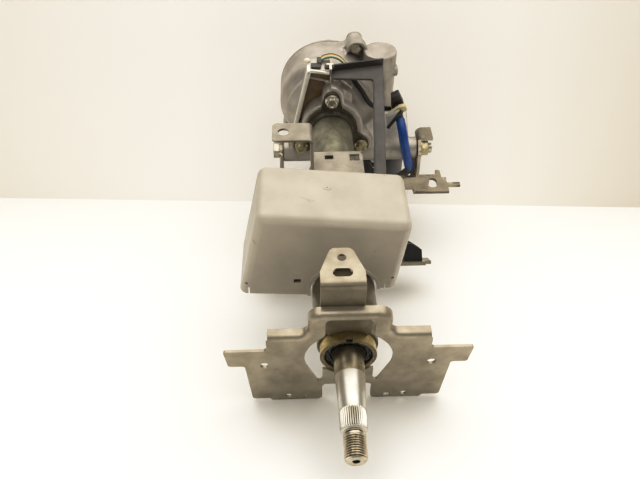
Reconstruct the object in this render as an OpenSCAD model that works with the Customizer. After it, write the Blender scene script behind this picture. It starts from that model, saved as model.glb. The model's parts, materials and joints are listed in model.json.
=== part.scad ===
// Motor-assisted steering column: shaft, tubes, worm reduction gear, brackets and harness.
// The modules draw in the column's own frame: Y runs along the shaft from its tip, Z is square to it.
// One last turn lays the column down as it rests, on its wing bracket and on the rim of its motor.

/* [Steering shaft] */
// Diameter of the wheel-nut thread at the tip
thread_d = 14; // [12:0.5:15]
// Length of the thread
thread_len = 16; // [12:1:22]
// Diameter of the steering-wheel serration
serration_d = 17; // [16:0.5:18.5]
// Length of the serration
serration_len = 14; // [10:1:20]
// Number of serration teeth
serration_teeth = 36; // [30:1:44]
// Length of the tapered neck
neck_len = 28; // [20:1:36]
// Diameter of the journal in the upper bearing
journal_d = 20; // [19:0.5:21]
// Diameter of the sliding lower shaft
lower_shaft_d = 18; // [16:0.5:19]
// Diameter of the rear serration, for the intermediate shaft
output_d = 16; // [14:0.5:18]
// Length of the rear serration
output_len = 30; // [22:1:36]

/* [Upper bearing and tubes] */
// Outside diameter of the upper bearing
bearing_od = 32; // [30:0.5:33]
// Width of the upper bearing
bearing_w = 7; // [6:0.5:9]
// Wall of the bearing sleeve
sleeve_wall = 2.8; // [2:0.1:3.2]
// Length of the bearing sleeve
sleeve_len = 40; // [34:1:44]
// Outside diameter of the upper tube
upper_tube_d = 45; // [44:0.5:47]
// Wall of the upper tube
upper_tube_wall = 2.5; // [2:0.1:2.8]
// Length of the upper tube
upper_tube_len = 178; // [172:1:190]
// Outside diameter of the lower tube
lower_tube_d = 38; // [36:0.5:38.5]
// Wall of the lower tube
lower_tube_wall = 2.6; // [2:0.1:4]
// Length of the lower tube in the open, between the upper tube and its flange
open_tube_len = 64; // [58:1:80]
// Length of the lower tube inside the upper one
tube_overlap = 33; // [26:1:40]

/* [Wing bracket] */
// Thickness of the pressed sheet
sheet_t = 2; // [1.6:0.1:2.4]
// Half width of the bracket's body
wing_half_w = 53; // [50:0.5:56]
// Reach of each arm from the axis
arm_reach = 81; // [76:0.5:86]
// Height of the body's top edge above the axis
wing_top = 24; // [22:0.5:25]
// Depth of the bottom edge below the axis
wing_drop = 51; // [48:0.5:54]
// Height of the arch above the axis
arch_top = 46; // [44:0.5:50]
// Half width of the arch
arch_half_w = 26.5; // [25:0.5:28]
// Depth of the folded flange
wing_flange = 7.5; // [6:0.5:10]
// Radius of the round opening
wing_opening_r = 29; // [28:0.5:30]
// Diameter of the two fixing holes
wing_hole_d = 6; // [5:0.5:7]
// Height of the tongue above the axis
tongue_top = 66; // [62:0.5:72]
// Reach of the tongue behind the riser
tongue_reach = 30; // [27:0.5:34]

/* [Control cover] */
// Distance of the cover behind the tube's front end
cover_set = 48; // [44:1:52]
// Depth of the cover along the column
cover_depth = 55; // [50:1:60]
// Wall of the moulding
cover_wall = 2.4; // [1.8:0.1:3]
// Radius of the rounded edges
cover_round = 6; // [5:0.5:7]
// Height of the left top edge
cover_top_left = 72.5; // [70:0.5:76]
// Height of the right top edge
cover_top_right = 63.5; // [61:0.5:67]

/* [Reduction gear] */
// Distance from the shaft axis to the worm axis
gear_centres = 48; // [46:0.5:52]
// Pitch diameter of the worm
worm_pitch_d = 16; // [15:0.5:17]
// Number of worm starts
worm_starts = 2; // [1:1:2]
// Number of teeth on the worm wheel
wheel_teeth = 41; // [37:1:45]
// Width of the worm wheel
wheel_w = 18; // [15:0.5:20]
// Wall of the gear housing
housing_wall = 4; // [3.5:0.5:6]
// Length of the gear housing along the column
gear_len = 42; // [40:0.5:46]
// Length of the sensor housing along the column
sensor_len = 35; // [33:0.5:38]

/* [Motor] */
// Outside diameter of the motor
motor_d = 68; // [64:1:74]
// Depth of the motor's end below the shaft axis
motor_drop = 150; // [144:1:160]
// Thickness of the motor's can
motor_wall = 2; // [1.5:0.1:3]

/* [Mounting brackets] */
// Diameter of the pivot bolt
pivot_d = 10; // [8:0.5:11]
// Depth of the pivot axis below the shaft axis
pivot_drop = 30; // [29:0.5:33]
// Diameter of the pivot boss on the casting
pivot_boss_d = 22; // [20:0.5:23]
// Thickness of the mounting brackets' steel
bracket_t = 3; // [2.5:0.1:3.5]
// Depth of the mounting plates below the shaft axis
mount_drop = 72; // [70:0.5:78]
// Diameter of the mounting holes
mount_hole_d = 10; // [9:0.5:11]
// Diameter of the tilt clamp bolt
tilt_bolt_d = 8; // [7:0.5:9]
// Depth of the tilt clamp bolt below the shaft axis
tilt_bolt_drop = 38; // [36:0.5:42]
// Largest tilt each way, in degrees
tilt_range = 3; // [2:0.5:3]

/* [Hidden] */

$fn = 64;
// Radial clearance of a running or sliding fit
fit = 0.05;
// Gap between two pieces that are fastened together
seat = 0.1;
// Gap between two pieces that move past each other
clear = 0.5;
// Length by which a cut runs past the face that it opens
past = 1;

// Shaft stations along Y
relief_len = 2;
serration_y = thread_len + relief_len;
neck_y = serration_y + serration_len;
journal_y = neck_y + neck_len;
thread_r = thread_d / 2;
serration_r = serration_d / 2;
serration_depth = 0.7;
journal_r = journal_d / 2;
lower_shaft_r = lower_shaft_d / 2;
wing_set = 10;
wing_y = journal_y + wing_set;
sleeve_set = 1.3;
sleeve_lip = 2.7;
sleeve_y = wing_y + sleeve_set;
bearing_y = sleeve_y + sleeve_lip;
centre_hole_r = 2.2;
centre_hole_depth = 5;
circlip_t = 1.2;
shaft_clip_y = bearing_y - circlip_t - seat;
shaft_clip_depth = 0.6;
shaft_clip_h = 2.2;
socket_wall = 4;
socket_r = lower_shaft_r + socket_wall;
socket_len = 72;
swell_len = 12;
plain_len = 60;
swell_y = wing_y + plain_len;
socket_y = swell_y + swell_len;
socket_end = socket_y + socket_len;
socket_depth = 64;

// Bearing sleeve, riser and tubes along Y
sleeve_bore_r = bearing_od / 2 + fit;
sleeve_r = bearing_od / 2 + sleeve_wall;
riser_y = wing_y + wing_flange + seat;
upper_tube_r = upper_tube_d / 2;
lower_tube_r = lower_tube_d / 2;
upper_bore_r = upper_tube_r - upper_tube_wall;
tube_y = riser_y + sheet_t + seat;
tube_end = tube_y + upper_tube_len;
tube_nose_wall = 1.6;
tube_nose_len = 14;
tube_swage_len = 11;
sleeve_seat_len = sleeve_y + sleeve_len + seat - tube_y;
lower_tube_y = tube_end - tube_overlap;
casting_y = tube_end + open_tube_len;

// Gear housing along Y
gear_y0 = casting_y + sensor_len;
gear_y = gear_y0 + gear_len / 2;
gear_end = gear_y0 + gear_len;
worm_pitch_r = worm_pitch_d / 2;
wheel_pitch_r = gear_centres - worm_pitch_r;
gear_module = 2 * wheel_pitch_r / wheel_teeth;
tooth_pitch = PI * gear_module;
worm_lead = worm_starts * tooth_pitch;
addendum = 0.87 * gear_module;
dedendum = 1.13 * gear_module;
flank = tan(20);
thread_share = 0.36;
tooth_share = 0.44;
wheel_tip_r = wheel_pitch_r + addendum;
wheel_root_r = wheel_pitch_r - dedendum;
worm_tip_r = worm_pitch_r + addendum;
worm_root_r = worm_pitch_r - dedendum;
wheel_room = 2.4;
cavity_r = wheel_tip_r + wheel_room;
drum_r = cavity_r + housing_wall;
drum_round = 12;
hub_r = 30;
hub_web_t = 8;
wheel_seat_r = 14;
output_journal_r = 12.5;
output_bearing_r = 21;
output_bearing_w = 9;
front_bearing_y = gear_y0 + 1.5;
rear_bearing_y = gear_end + 2;
output_y = front_bearing_y - 2;
wheel_y = gear_y - wheel_w / 2;
spigot_len = 14;
spigot_r = 9;
output_r = output_d / 2;
output_neck_y = rear_bearing_y + output_bearing_w + 3;
output_serration_y = output_neck_y + 6;
output_end = output_serration_y + output_len;
torsion_end_r = 5;
torsion_waist_r = 3.6;
torsion_grip = 16;
torsion_y = output_y - 30;
torsion_end = output_serration_y + torsion_grip;
torsion_pin_r = 1.5;
torsion_pin_y = output_serration_y + torsion_grip / 2;

// Worm shaft and motor along Z
worm_len = 44;
worm_journal_r = 6;
worm_bearing_r = 12;
worm_bearing_w = 6;
worm_shoulder = 3;
worm_bearing_z = worm_len / 2 + worm_shoulder;
worm_bore_r = worm_bearing_r + fit;
worm_body_r = worm_bore_r + housing_wall;
worm_bore_top = worm_bearing_z + worm_bearing_w + 2;
worm_cap = 16;
worm_body_top = worm_bore_top + worm_cap;
motor_room = 13;
motor_face = worm_bearing_z + worm_bearing_w + motor_room;
motor_flange_t = 8;
motor_top = motor_face + motor_flange_t + seat;
motor_r = motor_d / 2;
motor_flange_r = motor_r + 2;
motor_rim_y = gear_y - motor_r;
coupling_r = 11;
coupling_t = motor_flange_t - clear;
coupling_grip = 5;
rotor_shaft_r = 5;
stator_t = 6;
air_gap = 0.6;
stator_r = motor_r - motor_wall - seat;
stator_end_room = 14;
motor_bush_t = 8;
motor_bush_r = 9;
motor_bolt_r = 2.5;
motor_bolt_head_r = 4.5;
motor_bolt_head_h = 4;
motor_ear_t = 4;
motor_ear_r = 7;
motor_ear_x = motor_r + 5;

// Attitude of the column at rest: wing bracket and motor rim stand on one plane
rest_tilt = atan2(motor_drop - wing_drop, motor_rim_y - wing_y);

// Flange bolts and sensor housing
flange_bolt_r = 3;
flange_circle_r = 33;
flange_ear_r = 9;
flange_ring_r = 24.5;
flange_t = 3.5;
flange_head_r = 5.2;
flange_head_h = 4.4;
flange_washer_r = 6.2;
flange_washer_t = 1.4;
flange_bolt_len = 24;
flange_angles = [90, 210, 330];
lobe_r = 11;
sensor_bore_r = 24;
sensor_mouth_r = 16;
sensor_front_t = 8;
sensor_back_r = 42;
sensor_front_r = 30;
sensor_rotor_r = 16;
sensor_rotor_w = 10;
sensor_coil_w = 18;
sensor_rotor_y = casting_y + sensor_front_t + 4;
pocket_left = 32;
pocket_top = 54;
pocket_wall = 2.6;
pocket_y = casting_y + 13;
pocket_floor_y = pocket_y + 9;

// Pivot along X
pivot_y = casting_y + 8;
pivot_r = pivot_d / 2;
pivot_boss_r = pivot_boss_d / 2;
pivot_left = 46;
pivot_right = 84;
pivot_bush_r = pivot_r + 2.2;
pivot_bush_len = 20;
ear_left = pivot_left + clear;
ear_right = pivot_right + clear;
pivot_head_r = 8;
pivot_head_h = 6;
lug_x = 25;
lug_z = 49;
lug_angle = atan2(lug_z, lug_x);
lug_circle_r = norm([lug_x, lug_z]);
lug_r = 8;
lug_len = 14;
cover_t = 3;
lug_angles = [lug_angle, 225, 265];
lug_bolt_r = 3;
lug_head_r = 5;
lug_head_h = 4;

// Height of the web's upper face between the pivot boss and the gear housing
function web_top(y) = -pivot_drop + 9 + (y - pivot_y + 4) * (pivot_drop - 13) / (gear_y0 - pivot_y + 4);

// Tilt clamp
clamp_len = 24;
clamp_set = 50;
clamp_y = tube_end - clamp_set;
clamp_half_w = 31;
clamp_t = 2.5;
clamp_bottom = tilt_bolt_drop + 14;
tilt_y = clamp_y + clamp_len / 2;
tilt_bolt_r = tilt_bolt_d / 2;
side_half_w = clamp_half_w + clear;
tilt_arm = pivot_y - tilt_y;
tilt_travel = tilt_arm * sin(tilt_range);
slot_clear = 0.9;

// Control cover
cover_y = tube_y + cover_set;
cover_gap = 1.6;
cover_arch_r = upper_tube_r + cover_gap;
cover_rim_w = 2.3;
cover_rim_t = 1.2;
cover_left_top = 59;
cover_left_bottom = 75.5;
cover_right_top = 44;
cover_right_bottom = 37.5;
// Height of the cover's lower edge at its left corner, beside the arch and at the right
cover_low_left = -1;
cover_low_arch = -4.5;
cover_low_right = 1.2;
cover_low = cover_low_arch - 2;
snap_w = 4.8;
snap_h = 3.4;
snap_x = 35;
snap_z = 18;
slit_w = 1.2;
tray_z = upper_tube_r + 4;
tray_set = cover_wall + 2 * seat;
tray_left = 60;
tray_w = 92;
tray_corner_r = 5;
tray_leg_half_w = 20;
tray_hole_r = 3;
unit_h = 28;
unit_w = 74;
unit_left = 46;
unit_lid = 10;
unit_fins = 8;
unit_fin_t = 3;

// Saddle bracket and wire guide
saddle_z = upper_tube_r + seat;
saddle_end = tube_end - 1.5;
saddle_left = 21;
saddle_right = 22.4;
saddle_tab_len = 23;
saddle_tab_top = 54;
saddle_tab_reach = 51;
saddle_hole_r = 4.2;
saddle_y = cover_y + cover_depth + cover_gap;
guide_z = 48;
guide_t = 2;
guide_w = 9;

// Cord routes: points along each centre line, with Y counted from the casting's front face
wire_d = 1.6;
wire_pitch = 1.9;
wire_set = -2.8;
lead_d = 4.4;
harness_d = 8.4;
wire_route = [[-8.4, 30, 56], [-4, 31, 57.6], [2, 31, 58], [8, 30, 56], [13, 28, 51.5], [16, 26.5, 46.5]];
lead_route = [[17, 25, 45], [22, 22, 37], [29, 19, 28], [35, 18, 18], [42, 19, 11], [52, 22, 7],
    [58.2, 23, 6]];
harness_route = [[64.5, 11, 6.6], [65.3, 6, 5], [66.5, -2, 0], [68.3, -8, -9], [71, -10.4, -20],
    [74, -10, -31], [77, -6, -42], [79, 0.5, -50], [78, 6, -58], [73, 10, -67], [66, 14, -76],
    [57.5, 17.5, -83], [56, 18, -89]];
sensor_plug = [10, 12, 4];
harness_plug = [10, 12, 20];
harness_plug_x = 59.5;
harness_plug_y = 18;
motor_plug = 16;
motor_plug_drop = 106;

// Shared shapes

module along_y(y) translate([0, y, 0]) rotate([-90, 0, 0]) children();

module along_x(x, y, z) translate([x, y, z]) rotate([0, 90, 0]) children();

module worm_axis(z) translate([gear_centres, gear_y, z]) children();

module plate_x(x, t) translate([x, 0, 0]) rotate([90, 0, 90]) linear_extrude(t) children();

module plate_y(y, t) translate([0, y + t, 0]) rotate([90, 0, 0]) linear_extrude(t) children();

module plate_z(z, t) translate([0, 0, z]) linear_extrude(t) children();

module pipe(outer, inner, len) difference() {
    cylinder(r = outer, h = len);
    translate([0, 0, -past]) cylinder(r = inner, h = len + 2 * past);
}

module turned(points) rotate_extrude() polygon(points);

module on_circle(radius, angles) for (a = angles) translate([radius * cos(a), radius * sin(a)]) children();

module slot2d(len, r) {
    square([len - 2 * r, 2 * r], center = true);
    for (s = [-1, 1]) translate([s * (len / 2 - r), 0]) circle(r);
}

module rounded2d(size, r) {
    translate([r, 0]) square([size.x - 2 * r, size.y]);
    translate([0, r]) square([size.x, size.y - 2 * r]);
    for (x = [r, size.x - r], y = [r, size.y - r]) translate([x, y]) circle(r);
}

module teeth2d(count, root, tip)
    polygon([for (i = [0 : 2 * count - 1]) let (r = i % 2 ? tip : root, a = 180 * i / count)
        r * [cos(a), sin(a)]]);

module hex_head(r, h) cylinder(r = r, h = h, $fn = 6);

// Round tube swept along a route of points: one ring of sides for each point
function unit(v) = v / norm(v);
function heading(p, i) = unit(p[min(i + 1, len(p) - 1)] - p[max(i - 1, 0)]);
function ring_side(h) = unit(cross(h, abs(h.z) < 0.9 ? [0, 0, 1] : [1, 0, 0]));
function ring(c, h, r, sides) = let (u = ring_side(h), v = cross(u, h))
    [for (k = [0 : sides - 1]) c + r * (cos(360 * k / sides) * u + sin(360 * k / sides) * v)];
module cord(p, d, sides = 8) {
    last = len(p) - 1;
    points = [for (i = [0 : last]) each ring(p[i], heading(p, i), d / 2, sides)];
    walls = [for (i = [0 : last - 1], k = [0 : sides - 1])
        let (n = (k + 1) % sides, a = i * sides, b = a + sides)
        each [[a + k, a + n, b + n], [a + k, b + n, b + k]]];
    ends = [[for (k = [sides - 1 : -1 : 0]) k], [for (k = [0 : sides - 1]) last * sides + k]];
    polyhedron(points, concat(walls, ends));
}

// Deep-groove ball bearing, lying on z = 0
function ball_pitch(bore, od) = (bore + od) / 2;
function ball_r(bore, od) = 0.29 * (od - bore);
function land(bore, od) = 0.5 * ball_r(bore, od);
module groove(bore, od, w) translate([0, 0, w / 2]) rotate_extrude()
    translate([ball_pitch(bore, od), 0]) circle(ball_r(bore, od) + fit, $fn = 24);
module outer_ring(bore, od, w) difference() {
    pipe(od, ball_pitch(bore, od) + land(bore, od), w);
    groove(bore, od, w);
}
module inner_ring(bore, od, w) difference() {
    pipe(ball_pitch(bore, od) - land(bore, od), bore + fit, w);
    groove(bore, od, w);
}
module ball_row(bore, od, w, count) for (i = [0 : count - 1]) rotate([0, 0, 360 * i / count])
    translate([ball_pitch(bore, od), 0, w / 2]) sphere(ball_r(bore, od), $fn = 24);

// Steering shaft

module steering_shaft() color("silver") difference() {
    union() {
        along_y(0) turned([[0, 0], [thread_r, 0], [thread_r, thread_len], [thread_r - 1, thread_len],
            [thread_r - 1, serration_y], [serration_r - 2, serration_y], [serration_r - 2, neck_y],
            [serration_r + seat, neck_y], [journal_r, journal_y], [journal_r, swell_y],
            [socket_r, socket_y], [socket_r, socket_end], [0, socket_end]]);
        along_y(serration_y) linear_extrude(serration_len)
            teeth2d(serration_teeth, serration_r - serration_depth, serration_r);
    }
    along_y(-past) cylinder(r = centre_hole_r, h = past + centre_hole_depth);
    along_y(socket_end - socket_depth) cylinder(r = lower_shaft_r + fit, h = socket_depth + past);
    along_y(shaft_clip_y - fit) pipe(journal_r + past, journal_r - shaft_clip_depth, circlip_t + 2 * fit);
}

module lower_shaft() color("gray") difference() {
    along_y(socket_end - socket_depth + past) turned([[0, 0], [lower_shaft_r, 0],
        [lower_shaft_r, output_y - clear - (socket_end - socket_depth + past)],
        [spigot_r, output_y - clear - (socket_end - socket_depth + past)],
        [spigot_r, output_y + spigot_len - (socket_end - socket_depth + past)],
        [0, output_y + spigot_len - (socket_end - socket_depth + past)]]);
    along_y(torsion_y) cylinder(r = torsion_end_r + fit, h = output_y + spigot_len + past - torsion_y);
}

module circlip2d(inner, outer, gap, lug, lug_at) difference() {
    union() {
        difference() {
            circle(outer);
            circle(inner);
        }
        for (s = [-1, 1]) translate([s * (gap + lug / 2), lug_at]) circle(lug);
    }
    translate([-gap / 2, 0]) square([gap, outer + lug + past]);
}

module shaft_circlip() color("dimgray") plate_y(shaft_clip_y, circlip_t)
    circlip2d(journal_r - shaft_clip_depth + fit, journal_r + shaft_clip_h - shaft_clip_depth, 3, 1.3,
        journal_r + 0.6);

module upper_bearing_inner() color("silver") along_y(bearing_y)
    inner_ring(journal_r, bearing_od / 2, bearing_w);

module upper_bearing_outer() color("silver") along_y(bearing_y)
    outer_ring(journal_r, bearing_od / 2, bearing_w);

module upper_bearing_balls() color("silver") along_y(bearing_y)
    ball_row(journal_r, bearing_od / 2, bearing_w, 12);

module bearing_circlip() color("dimgray") plate_y(bearing_y - circlip_t - seat, circlip_t)
    circlip2d(bearing_od / 2 - 2, bearing_od / 2, 4, 0.9, bearing_od / 2 - 2);

module sensor_rotor() color("darkgray") along_y(sensor_rotor_y) difference() {
    linear_extrude(sensor_rotor_w) teeth2d(8, sensor_rotor_r - 3, sensor_rotor_r);
    translate([0, 0, -past]) cylinder(r = lower_shaft_r + fit, h = sensor_rotor_w + 2 * past);
}

// Tubes and upper bearing sleeve

module bearing_sleeve() color("goldenrod") difference() {
    along_y(sleeve_y) pipe(sleeve_r, sleeve_bore_r, sleeve_len);
    notch = 4.4;
    translate([-notch / 2, sleeve_y - past, sleeve_bore_r - past])
        cube([notch, past + 2.2, sleeve_wall + 2 * past]);
}

module upper_tube() color("rosybrown") along_y(tube_y) difference() {
    nose_r = sleeve_r + fit + tube_nose_wall;
    turned([[0, 0], [nose_r, 0], [nose_r, tube_nose_len], [upper_tube_r, tube_nose_len + tube_swage_len],
        [upper_tube_r, upper_tube_len], [0, upper_tube_len]]);
    translate([0, 0, -past]) cylinder(r = sleeve_r + fit, h = sleeve_seat_len + past);
    translate([0, 0, sleeve_seat_len - past]) cylinder(r = upper_bore_r, h = upper_tube_len);
}

module tube_bush() color("ivory") along_y(lower_tube_y + 1)
    pipe(upper_bore_r - fit, lower_tube_r + fit, tube_overlap - 2);

module lower_tube() color("gray") along_y(lower_tube_y)
    pipe(lower_tube_r, lower_tube_r - lower_tube_wall, casting_y - seat - lower_tube_y);

module flange2d(ring_r, ear_r) {
    circle(ring_r);
    for (a = flange_angles) {
        on_circle(flange_circle_r, [a]) circle(ear_r);
        rotate(a) translate([0, -ear_r]) square([flange_circle_r, 2 * ear_r]);
    }
}

module tube_flange() color("dimgray") plate_y(casting_y - seat - flange_t, flange_t) difference() {
    flange2d(flange_ring_r, flange_ear_r);
    circle(lower_tube_r + fit);
    on_circle(flange_circle_r, flange_angles) circle(flange_bolt_r + fit);
}

module flange_bolts() color("khaki") for (a = flange_angles)
    translate([flange_circle_r * cos(a), 0, flange_circle_r * sin(a)]) {
        head_y = casting_y - 2 * seat - flange_t;
        along_y(head_y) cylinder(r = flange_bolt_r, h = flange_bolt_len);
        along_y(head_y - flange_washer_t) cylinder(r = flange_washer_r, h = flange_washer_t);
        along_y(head_y - flange_washer_t - flange_head_h) hex_head(flange_head_r, flange_head_h);
    }

// Wing bracket at the steering-wheel end

wing_waist = 68.4;
wing_foot = 66;
arch_rim = 4.5;
arch_mouth = 15.5;
arch_corner_r = 4;
lightening_r = 2.3;
peg_r = 1.5;
module wing_half2d() polygon([[0, wing_top], [wing_half_w, wing_top], [wing_half_w, 10],
    [arm_reach - 2, 10],
    [arm_reach, 8], [arm_reach - 2, -4], [arm_reach - 4, -7], [wing_waist, -7], [wing_foot, 5 - wing_drop],
    [wing_foot - 2.5, 2.5 - wing_drop], [wing_half_w + 1, 2.5 - wing_drop], [wing_half_w - 1, -wing_drop],
    [19, -wing_drop], [17, 2 - wing_drop], [17, -31.5], [0, -31.5]]);

module wing_top2d(inset) {
    r = 9;
    half = arch_half_w - inset;
    top = arch_top - inset;
    inner = wing_top - inset;
    translate([inset - wing_half_w, 0]) square([2 * (wing_half_w - inset), inner]);
    translate([-half, 0]) square([2 * half, top - r]);
    translate([r - half, 0]) square([2 * (half - r), top]);
    for (s = [-1, 1]) {
        translate([s * (half - r), top - r]) circle(r);
        translate([s * half, inner]) difference() {
            translate([s < 0 ? -4 : -past, -past]) square([4 + past, 4 + past]);
            translate([s * 4, 4]) circle(4);
        }
    }
}

module wing_opening2d() difference() {
    union() {
        circle(wing_opening_r);
        mouth_top = arch_top - arch_rim;
        translate([-arch_mouth, 0]) square([2 * arch_mouth, mouth_top - arch_corner_r]);
        translate([arch_corner_r - arch_mouth, 0]) square([2 * (arch_mouth - arch_corner_r), mouth_top]);
        for (s = [-1, 1]) {
            translate([s * (arch_mouth - arch_corner_r), mouth_top - arch_corner_r]) circle(arch_corner_r);
            polygon([[s * 28, -7.5], [s * 20, -27], [s * 18, -27], [s * 12, -12]]);
        }
    }
    translate([-17, -wing_drop]) square([34, wing_drop - sleeve_r + 6]);
}

module wing_bracket() color("tan") difference() {
    union() {
        plate_y(wing_y, sheet_t) difference() {
            union() {
                wing_half2d();
                mirror([1, 0]) wing_half2d();
                wing_top2d(0);
            }
            wing_opening2d();
            circle(sleeve_r + seat);
            for (s = [-1, 1]) translate([s * 40.5, 5 - wing_drop]) circle(lightening_r);
            translate([-28.7, 3.5 - wing_drop]) circle(peg_r);
            translate([28.7, 4 - wing_drop]) square([4.4, 3.4], center = true);
        }
        plate_y(wing_y, wing_flange) difference() {
            wing_top2d(0);
            wing_top2d(sheet_t);
            translate([-arm_reach, -wing_drop]) square([2 * arm_reach, wing_drop + wing_top - 6]);
            for (s = [-1, 1]) translate([s * (wing_half_w + 8.5), wing_top]) square(20, center = true);
        }
    }
    for (s = [-1, 1]) translate([s * 55.3, 0, -6]) along_y(wing_y - past)
        cylinder(d = wing_hole_d, h = sheet_t + 2 * past);
}

// Support with a tongue, standing on the tube's front end behind the arch
tongue_x = -4.7;
tongue_half_w = 13.8;
tongue_end_r = 8.2;
tongue_corner_r = 4.6;
tongue_straight = 11;
tongue_hole_r = 2.75;
module tongue_bracket() color("tan") {
    tongue_end = riser_y + tongue_reach - tongue_end_r;
    plate_y(riser_y, sheet_t) difference() {
        polygon([[tongue_x - tongue_half_w, tongue_top], [tongue_x + tongue_half_w, tongue_top],
            [tongue_x + tongue_half_w, arch_top], [15, 30], [15, 0], [-16, 0], [-16, 30],
            [tongue_x - tongue_half_w, arch_top]]);
        circle(sleeve_r + seat);
    }
    plate_z(tongue_top - sheet_t, sheet_t) difference() {
        hull() {
            translate([tongue_x - tongue_half_w, riser_y]) square([2 * tongue_half_w, tongue_straight]);
            for (x = [-1, 1]) translate([tongue_x + x * (tongue_end_r - tongue_corner_r),
                tongue_end + tongue_end_r - tongue_corner_r]) circle(tongue_corner_r);
        }
        translate([tongue_x, tongue_end]) circle(tongue_hole_r);
        translate([tongue_x, riser_y + 9.8]) slot2d(12, 3.2);
    }
}

// Moulded cover over the control unit, open underneath

module cover_form(inset, lift) hull() {
    r = cover_round - inset;
    front = cover_y + cover_round;
    back = cover_y + cover_depth - cover_round;
    for (y = [front, back]) {
        translate([cover_round - cover_left_top, y, cover_top_left - cover_round]) sphere(r, $fn = 32);
        translate([cover_right_top - cover_round, y, cover_top_right - cover_round]) sphere(r, $fn = 32);
        translate([cover_round - cover_left_bottom, y, lift]) cylinder(r = r, h = 0.1, $fn = 32);
        translate([cover_right_bottom - cover_round, y, lift]) cylinder(r = r, h = 0.1, $fn = 32);
    }
}

module control_cover() color("wheat") difference() {
    union() {
        difference() {
            cover_form(0, cover_low);
            cover_form(cover_wall, cover_low - past);
        }
        intersection() {
            along_y(cover_y - cover_rim_t)
                pipe(cover_arch_r + cover_rim_w, cover_arch_r - past, cover_rim_t + cover_wall);
            translate([-arm_reach, 0, cover_low]) cube([2 * arm_reach, casting_y, arm_reach]);
        }
    }
    along_y(cover_y - 2 * cover_rim_t) cylinder(r = cover_arch_r, h = cover_depth + 4 * cover_rim_t);
    far = cover_left_bottom + past;
    under = cover_low - past;
    plate_y(cover_y - 2 * cover_rim_t, cover_depth + 4 * cover_rim_t)
        polygon([[-far, cover_low_left], [-cover_arch_r, cover_low_arch], [0, cover_low_arch],
            [0, cover_low_right], [far, cover_low_right], [far, under - past], [-far, under - past]]);
    translate([-snap_x, cover_y - past, snap_z]) cube([snap_w, cover_wall + 2 * past, snap_h]);
    for (x = [cover_round + slit_w - cover_left_bottom, cover_right_bottom - cover_round - 2 * slit_w])
        translate([x, cover_y - past, under]) cube([slit_w, cover_wall + 2 * past, 4 * slit_w - under]);
    translate([cover_right_bottom - 22, cover_y + cover_depth - cover_wall - past, under])
        cube([16, cover_wall + 2 * past, cover_arch_r]);
}

module cover_tray() color("gray") {
    tray_depth = cover_depth - 2 * tray_set;
    leg_set = tray_set + tray_corner_r;
    leg_foot = upper_tube_r / 3;
    plate_z(tray_z, sheet_t) difference() {
        translate([-tray_left, cover_y + tray_set]) rounded2d([tray_w, tray_depth], tray_corner_r);
        for (x = [-2, 1]) translate([x * tray_leg_half_w, cover_y + cover_depth / 2]) circle(tray_hole_r);
    }
    for (y = [cover_y + leg_set, cover_y + cover_depth - leg_set - sheet_t])
        plate_y(y, sheet_t) difference() {
            translate([-tray_leg_half_w, leg_foot])
                square([2 * tray_leg_half_w, tray_z - leg_foot + sheet_t / 2]);
            circle(upper_tube_r + seat);
        }
}

module control_unit() color("darkslategray") {
    base = tray_z + sheet_t + seat;
    room = tray_set + cover_wall;
    lid_in = unit_fin_t;
    unit_depth = cover_depth - 2 * room;
    fin_gap = (unit_w - 4 * lid_in) / (unit_fins - 0.5);
    plate_z(base, unit_h - unit_lid) translate([-unit_left, cover_y + room])
        rounded2d([unit_w, unit_depth], cover_wall);
    plate_z(base + unit_h - unit_lid, lid_in) translate([lid_in - unit_left, cover_y + room + cover_wall])
        rounded2d([unit_w - 2 * lid_in, unit_depth - 2 * cover_wall], cover_wall);
    for (i = [0 : unit_fins - 1])
        translate([2 * lid_in - unit_left + fin_gap * i, cover_y + room + lid_in,
            base + unit_h - unit_lid + 2])
            cube([unit_fin_t, unit_depth - 2 * lid_in, 2 * unit_fin_t]);
}

// Saddle over the tube with a raised side tab

module saddle_bracket() color("gray") {
    start = saddle_y;
    plate_z(saddle_z, sheet_t) difference() {
        polygon([[-saddle_left, start], [34, start], [34, start + 34], [saddle_right, start + 40],
            [saddle_right, saddle_end - 4], [saddle_right - 2, saddle_end], [-saddle_left, saddle_end]]);
        translate([-5.5, saddle_end - 7.5]) square([7, 5], center = true);
        translate([15.5, saddle_end - 8]) square([8, 8], center = true);
    }
    plate_x(-saddle_left, sheet_t) polygon([[saddle_end - saddle_tab_len - 20, saddle_z],
        [saddle_end, saddle_z],
        [saddle_end, saddle_tab_top], [saddle_end - saddle_tab_len, saddle_tab_top]]);
    plate_z(saddle_tab_top - sheet_t, sheet_t) difference() {
        translate([-saddle_tab_reach, saddle_end - saddle_tab_len])
            rounded2d([saddle_tab_reach - saddle_left + sheet_t, saddle_tab_len], 2);
        translate([9 - saddle_tab_reach, saddle_end - saddle_tab_len / 2]) circle(saddle_hole_r);
    }
}

// Flat wire guide from the saddle to the sensor pocket
module wire_guide() color("dimgray") {
    near = saddle_y + 2;
    far = casting_y + 26;
    near_x = 22;
    far_x = 36;
    plate_z(guide_z, guide_t) polygon([[near_x, near], [near_x + guide_w, near], [far_x + guide_w + 1, far],
        [1.5, far - 6], [1.5, far - 18], [far_x - 3, far - 14], [far_x - 1, far - 16]]);
    plate_z(guide_z, pocket_top + seat + 1.6 - guide_z)
        polygon([[1.5, far - 8], [far_x + guide_w + 1, far - 2], [far_x + guide_w + 1, far],
            [1.5, far - 6]]);
    plate_z(pocket_top + seat, 1.6) translate([-6, far - 11]) square([8.5, 5]);
    plate_y(near, guide_t) translate([near_x, saddle_z + sheet_t + seat])
        square([guide_w, guide_z - saddle_z - sheet_t]);
}

// Sensor housing casting with the pivot boss

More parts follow.
